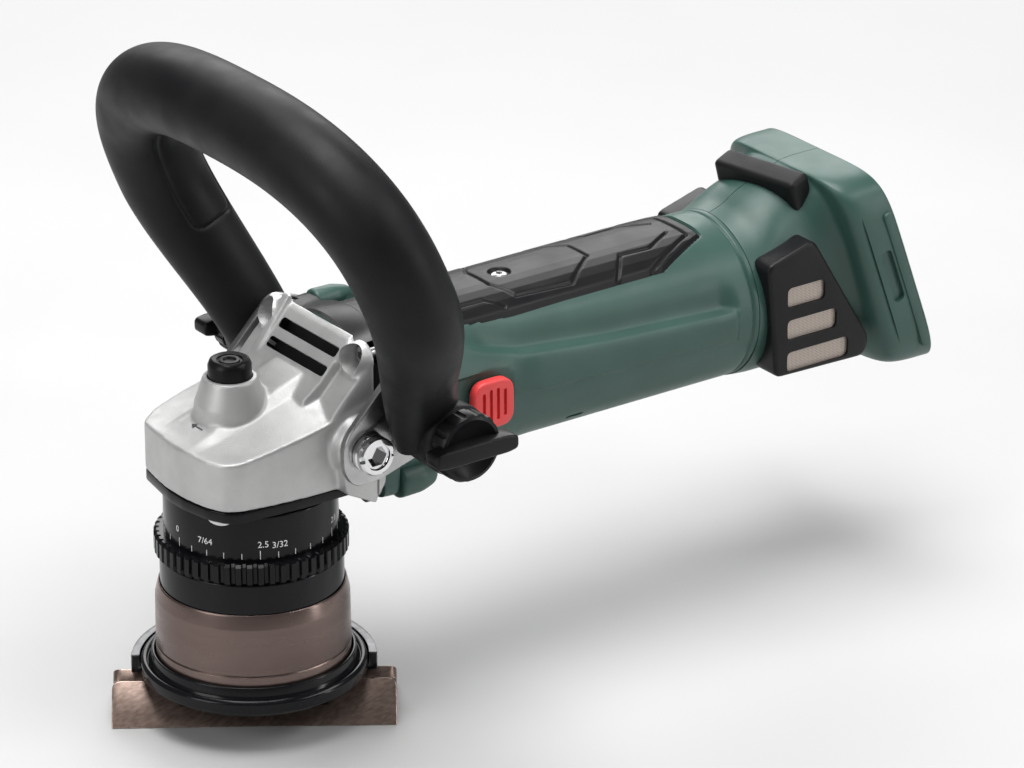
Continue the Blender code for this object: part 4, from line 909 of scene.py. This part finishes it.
BOW_LEAN, BOW_OFFSET, BOW_FOOT, BOW_HALF_WIDTH, BOW_STRAIGHT, BOW_ARCH = 22.4, -2.8, 51.0, 77.5, 67.5, 52.5
BOW_RADIUS, BOW_LEG_SHARE, BOW_ARCH_POWER = 15.9, 0.37, 0.75
LEG_THICK, LEG_DEEP = 9.5, 13.5
BOW_INSIDE = math.radians(20)     # where on the section the outlines are centred


def bow_point(place):
    """The bow at a place from 0 to 1: across, distance from the pivot, and the section's two radii."""
    legs = BOW_LEG_SHARE
    if place < legs:
        share = place / legs
        ease = share * share * (3 - 2 * share)
        half = BOW_FOOT + (BOW_HALF_WIDTH - BOW_FOOT) * ease
        return (-half, BOW_STRAIGHT * share, LEG_THICK + (BOW_RADIUS - LEG_THICK) * ease,
                LEG_DEEP + (BOW_RADIUS - LEG_DEEP) * ease)
    if place > 1 - legs:
        half, up, thick, deep = bow_point(1 - place)
        return -half, up, thick, deep
    angle = math.pi * (place - legs) / (1 - 2 * legs)
    power = BOW_ARCH_POWER
    across = -BOW_HALF_WIDTH * math.copysign(abs(math.cos(angle)) ** power, math.cos(angle))
    return across, BOW_STRAIGHT + BOW_ARCH * abs(math.sin(angle)) ** power, BOW_RADIUS, BOW_RADIUS


def bow_course(count):
    """Evenly spaced points of the bow with their radii, from its left foot to its right."""
    fine = [bow_point(k / 4000) for k in range(4001)]
    reach = [0.0]
    for a, b in zip(fine, fine[1:]):
        reach.append(reach[-1] + math.hypot(b[0] - a[0], b[1] - a[1]))
    points, spot = [], 0
    for k in range(count + 1):
        target = reach[-1] * k / count
        while spot < 3999 and reach[spot + 1] < target:
            spot += 1
        points.append(fine[min(spot, 4000)])
    for _ in range(6):
        points = [points[0]] + [tuple((a + 2 * b + c) / 4 for a, b, c in zip(*three))
                                for three in zip(points, points[1:], points[2:])] + [points[-1]]
    return points, reach[-1]


def make_bow(looks):
    count, sides = 520, 132
    course, length = bow_course(count)
    lean = math.radians(BOW_LEAN)
    up = Vector((-math.sin(lean), 0, math.cos(lean)))
    flat = Vector((math.cos(lean), 0, math.sin(lean)))
    centre = Vector((PIVOT_X + BOW_OFFSET, 0, PIVOT_Z))
    spots = [centre + Vector((0, across, 0)) + up * along for across, along, _, _ in course]
    rings = []
    for k, (_, _, thick, deep) in enumerate(course):
        tangent = (spots[min(k + 1, count)] - spots[max(k - 1, 0)]).normalized()
        normal = tangent.cross(flat).normalized()
        s = length * k / count
        ring = []
        for j in range(sides):
            a = 2 * math.pi * j / sides
            dent = bow_groove(s, length, a)
            ring.append(spots[k] + (thick - dent) * math.cos(a) * normal
                        + (deep - dent) * math.sin(a) * flat)
        rings.append(ring)
    bow = loft(rings)
    hubs = []
    for side in (-1, 1):
        near, far = HUB_INNER_FACE, HUB_OUTER_FACE
        hub = [(4.3, near), (11.0, near), (12.0, near + 1.4), (13.0, far - 3.5), (12.6, far - 1.4),
               (11.2, far), (4.3, far)]
        hubs.append(lathe(rounded(hub, 1.0, 4), 96, PIVOT, (-90 * side, 0, 0)))
        stud = flank(circle(4.25, 32, (PIVOT_X, PIVOT_Z)), side, 30, 80)
        bow = combined(bow, [stud])
    add_piece("bow_grip", joined([bow] + hubs), looks["rubber"], "bow_handle", sharp=40)


def bow_groove(s, length, a):
    """Depth of the moulded outlines: a long pad on each leg's inner side and one over the arch."""
    depth = 0.0
    across = math.atan2(math.sin(a - BOW_INSIDE), math.cos(a - BOW_INSIDE)) * BOW_RADIUS
    for centre, half_long, half_wide in ((0.25 * length, 44.0, 11.0), (0.75 * length, 44.0, 11.0),
                                         (0.5 * length, 48.0, 12.0)):
        along = abs(s - centre) - half_long + 5.0
        wide = abs(across) - half_wide + 5.0
        edge = math.hypot(max(along, 0), max(wide, 0)) + min(max(along, wide), 0) - 5.0
        depth += 0.75 * math.exp(-(edge / 0.75) ** 2)
    return depth


def make_knobs(looks):
    low = HUB_OUTER_FACE + GAP
    for side, label in ((-1, "left"), (1, "right")):
        turn = (-90 * side, 0, 0)
        outline = [(0, 37.0), (4.0, 37.0), (4.0, low), (12.2, low), (12.5, low + 0.4), (12.5, low + 5.4),
                   (11.8, low + 6.6), (10.6, low + 7.0), (9.4, low + 6.2), (6.0, low + 5.2), (0, low + 4.8)]
        wheel = lathe(outline, 120, PIVOT, turn)
        grips = [prism(circle(1.5, 20, (13.4 * math.cos(a), 13.4 * math.sin(a))), low - 2, low + 9)
                 for a in [math.radians(360 * k / 16 + 11) for k in range(16)]]
        wheel = combined(wheel, [placed(grip, PIVOT, turn) for grip in grips])
        bar = rounded([(-17.0, -2.4), (-13, -3.2), (13, -3.2), (17.0, -2.4), (17.0, 2.4), (13, 3.2),
                       (-13, 3.2), (-17.0, 2.4)], 1.6, 4)
        wing = bevelled(prism(bar, low + 3.4, low + 11.0), 0.9, 3, 40)
        placed(wing, PIVOT, turn)
        add_piece(f"wing_knob_{label}_grip", joined([wheel, wing]), looks["black"], f"wing_knob_{label}")


# ---------------------------------------------------------------- rear housing

REAR_STATIONS = [(199.2, 109.0, 31.0, 31.0, 1.0, 0), (204.9, 109.8, 31.0, 32.0, 0.95, 0),
                 (213.9, 112.0, 29.0, 34.0, 0.85, 3), (228.9, 114.5, 27.0, 36.0, 0.75, 10),
                 (241.0, 114.5, 30.0, 39.5, 0.60, 17), (247.0, 113.5, 37.4, 42.1, 0.38, 19.4),
                 (264.0, 113.5, 38.0, 42.5, 0.34, 19.4)]


def rear_section(x, z, half_width, half_height, power, tilt, steps=176):
    lean = math.radians(tilt)
    points = []
    for k in range(steps):
        angle = 2 * math.pi * (k + 0.5) / steps
        across = half_width * math.copysign(abs(math.cos(angle)) ** power, math.cos(angle))
        up = half_height * math.copysign(abs(math.sin(angle)) ** power, math.sin(angle))
        points.append((x - math.sin(lean) * up, across, z + math.cos(lean) * up))
    return points


def rear_course(shrink=0.0):
    """The rear housing's sections, with smooth ones between the given stations."""
    rows = REAR_STATIONS
    course = []
    for k in range(len(rows) - 1):
        before, after = rows[max(k - 1, 0)], rows[min(k + 2, len(rows) - 1)]
        here, there = rows[k], rows[k + 1]
        for step in range(12):
            t = step / 12
            row = []
            for p, a, b, n in zip(before, here, there, after):
                lead, trail = (b - p) / 2, (n - a) / 2
                if (b - a) * lead <= 0:
                    lead = 0
                if (b - a) * trail <= 0:
                    trail = 0
                row.append((2 * t ** 3 - 3 * t * t + 1) * a + (t ** 3 - 2 * t * t + t) * lead
                           + (3 * t * t - 2 * t ** 3) * b + (t ** 3 - t * t) * trail)
            course.append(row)
    x, z, w, h, p, t = rows[-1]
    course += [[x - 1.3, z, w, h, p, t], [x - 0.5, z, w - 0.3, h - 0.3, p, t], [x, z, w - 1.1, h - 1.1, p, t]]
    course = sorted(course, key=lambda row: row[0])
    return [rear_section(x, z, w - shrink, h - shrink, p, t) for x, z, w, h, p, t in course]


def on_foot(bm):
    """Turn a mesh with the foot's tilt and put it at the middle of the foot's rear face."""
    return placed(bm, (FOOT_X, 0, FOOT_Z), (0, -FOOT_TILT, 0))


def make_rear(looks):
    for side, label in ((-1, "left"), (1, "right")):
        shell = loft(rear_course())
        cuts = [prism(box_outline(200, 60, (250, -side * 60 + side * 0.12)), 0, 300)]
        cuts.append(on_foot(prism(box_outline(40, 28, (30.5, 0)), -80, 33)))
        cuts.append(on_foot(prism(box_outline(3.25, 31, (-6.25, 0)), -80, 33)))
        pill = flank(rounded(box_outline(2.4, 11.0, (-8.8, 4.0)), 2.3, 6), side, 36.6, 60)
        cuts.append(on_foot(pill))
        groove = flank(rounded(box_outline(0.5, 34.0, (-14.2, 0)), 0.4), side, 37.1, 60)
        cuts.append(on_foot(groove))
        shell = combined(shell, cuts)
        ridge = flank(rounded(box_outline(1.9, 30.0, (-3.6, -1.0)), 1.8, 6), side, 36.0, 38.8)
        ridge = on_foot(bevelled(ridge, 0.5, 2, 40))
        add_piece(f"rear_shell_{label}", joined([shell, ridge]), looks["green"],
                  f"rear_housing_{label}", sharp=38)


def make_filters(looks):
    start = 200.4
    axis = AXIS_HEIGHT
    outline = [(start, axis + 20), (start + 21, axis + 26), (start + 47, axis - 18), (start + 45, axis - 25),
               (start + 4, axis - 24)]
    for side, label in ((-1, "left"), (1, "right")):
        face = 34.0
        plate = flank(rounded(outline, 3.0, 4), side, 19.0, face)
        plate = bevelled(plate, 1.5, 4, 50)
        cuts = [loft(rear_course(-0.3))]
        cloths = []
        for row in range(3):
            middle = axis + 6 - 12.5 * row
            reach = 17 + 5.5 * row
            window = rounded(box_outline(reach / 2, 3.9, (start + 9 + reach / 2, middle)), 2.2, 5)
            cuts.append(flank(window, side, face - 1.5, face + 6))
            cloth = rounded(box_outline(reach / 2 + 0.3, 4.2, (start + 9 + reach / 2, middle)), 2.3, 5)
            cloths.append(flank(cloth, side, face - 1.6, face - 1.15))
        node = f"filter_frame_{label}"
        add_piece(f"{node}_plate", combined(plate, cuts), looks["black"], node)
        add_piece(f"{node}_cloth", joined(cloths), looks["cloth"], node, extra=True)


def make_rear_details(looks):
    top = AXIS_HEIGHT + BODY_RADIUS + 1.2
    lens = bevelled(prism(rounded(box_outline(2.5, 2.5), 0.6), top - 3, top + 2.4), 0.4, 3, 50)
    placed(lens, (211.4, 0, 0))
    add_piece("signal_lens_cap", lens, looks["lens"], "signal_lens")
    bar = prism(rounded(box_outline(5.0, 19.0), 2.6, 6), BODY_RADIUS - 1, BODY_RADIUS + 15.5)
    bevelled(bar, 2.0, 5, 50)
    placed(bar, (232.9, 0, AXIS_HEIGHT), (0, -16, 12))
    bar = combined(bar, [loft(rear_course(-0.4))])
    add_piece("rear_bumper_bar", bar, looks["rubber"], "rear_bumper")


# ---------------------------------------------------------------- camera, lights and floor

CAMERA_AZIMUTH, CAMERA_ELEVATION, CAMERA_ROLL = -35.33, 23.29, -0.32      # degrees
CAMERA_DISTANCE, CAMERA_LENS, CAMERA_SENSOR = 2.3, 227.3, 36.0            # metres, then millimetres
CAMERA_SHIFT = (0.0041, -0.0118)
AIM_X, AIM_Z = 0.11, 0.1      # metres behind the spindle axis, and above the floor
FLOOR_DROP = 0.0002


def make_camera():
    """A long lens from the front left, above the tool."""
    azimuth, elevation, roll = map(math.radians, (CAMERA_AZIMUTH, CAMERA_ELEVATION, CAMERA_ROLL))
    back = Vector((math.sin(azimuth) * math.cos(elevation), -math.cos(azimuth) * math.cos(elevation),
                   math.sin(elevation)))
    right = (-back).cross(Vector((0, 0, 1))).normalized()
    up = right.cross(-back)
    turned_right = math.cos(roll) * right + math.sin(roll) * up
    turned_up = math.cos(roll) * up - math.sin(roll) * right
    camera = bpy.data.objects.new("camera", bpy.data.cameras.new("camera"))
    place = Vector((AIM_X + SPINDLE_X * MM, 0, AIM_Z)) + CAMERA_DISTANCE * back
    spin = Matrix((turned_right, turned_up, back)).transposed()
    camera.matrix_world = Matrix.Translation(place) @ spin.to_4x4()
    camera.data.sensor_width = CAMERA_SENSOR
    camera.data.lens = CAMERA_LENS
    camera.data.shift_x, camera.data.shift_y = CAMERA_SHIFT
    bpy.context.scene.collection.objects.link(camera)
    bpy.context.scene.camera = camera


def add_light(name, place, size, power, target=(0.0, 0.0, AIM_Z)):
    light = bpy.data.lights.new(name, "AREA")
    light.shape = "RECTANGLE"
    light.size, light.size_y = size
    light.energy = power
    item = linked(name, light)
    item.location = place
    item.rotation_euler = (Vector(target) - Vector(place)).to_track_quat("-Z", "Y").to_euler()


def make_studio():
    world = bpy.data.worlds.new("studio")
    world.use_nodes = True
    world.node_tree.nodes["Background"].inputs["Color"].default_value = (1, 1, 1, 1)
    world.node_tree.nodes["Background"].inputs["Strength"].default_value = 0.16
    bpy.context.scene.world = world
    bpy.context.scene.view_settings.view_transform = "Standard"
    add_light("key", (-0.1, 0.05, 1.5), (1.2, 0.9), 27)
    add_light("front", (-1.5, -0.1, 0.75), (0.7, 0.9), 7)
    add_light("back", (0.7, 1.2, 0.9), (1.4, 0.8), 13)
    add_light("strip", (0.9, -1.05, 0.32), (0.1, 0.8), 3.4)
    add_light("gloss", (0.75, -0.8, 1.05), (1.1, 0.2), 5.0)
    bm = bmesh.new()
    bmesh.ops.create_grid(bm, x_segments=8, y_segments=8, size=6.0)
    mesh = as_mesh("floor", bm)
    floor = linked("floor", mesh)
    floor.location.z = -FLOOR_DROP
    n = Nodes("pale_floor")
    n.link(n.colors(n.noise(3.0), (0.54, 0.54, 0.54), (0.57, 0.57, 0.57)), n.shader.inputs["Base Color"])
    n.link(n.spread(n.noise(9.0), 0.55, 0.65), n.shader.inputs["Roughness"])
    mesh.materials.append(n.material)


LOOKS = make_looks()
LOOKS["cloth"] = make_mesh_cloth()
paint_cad(LOOKS)
make_camera()
make_studio()
for make in (make_shoe, make_sleeve, make_depth_ring, make_gear_housing, make_screws, make_button,
             make_brackets_and_bolts, make_motor_body, make_pad, make_switch, make_bow, make_knobs,
             make_rear, make_filters, make_rear_details):
    make(LOOKS)
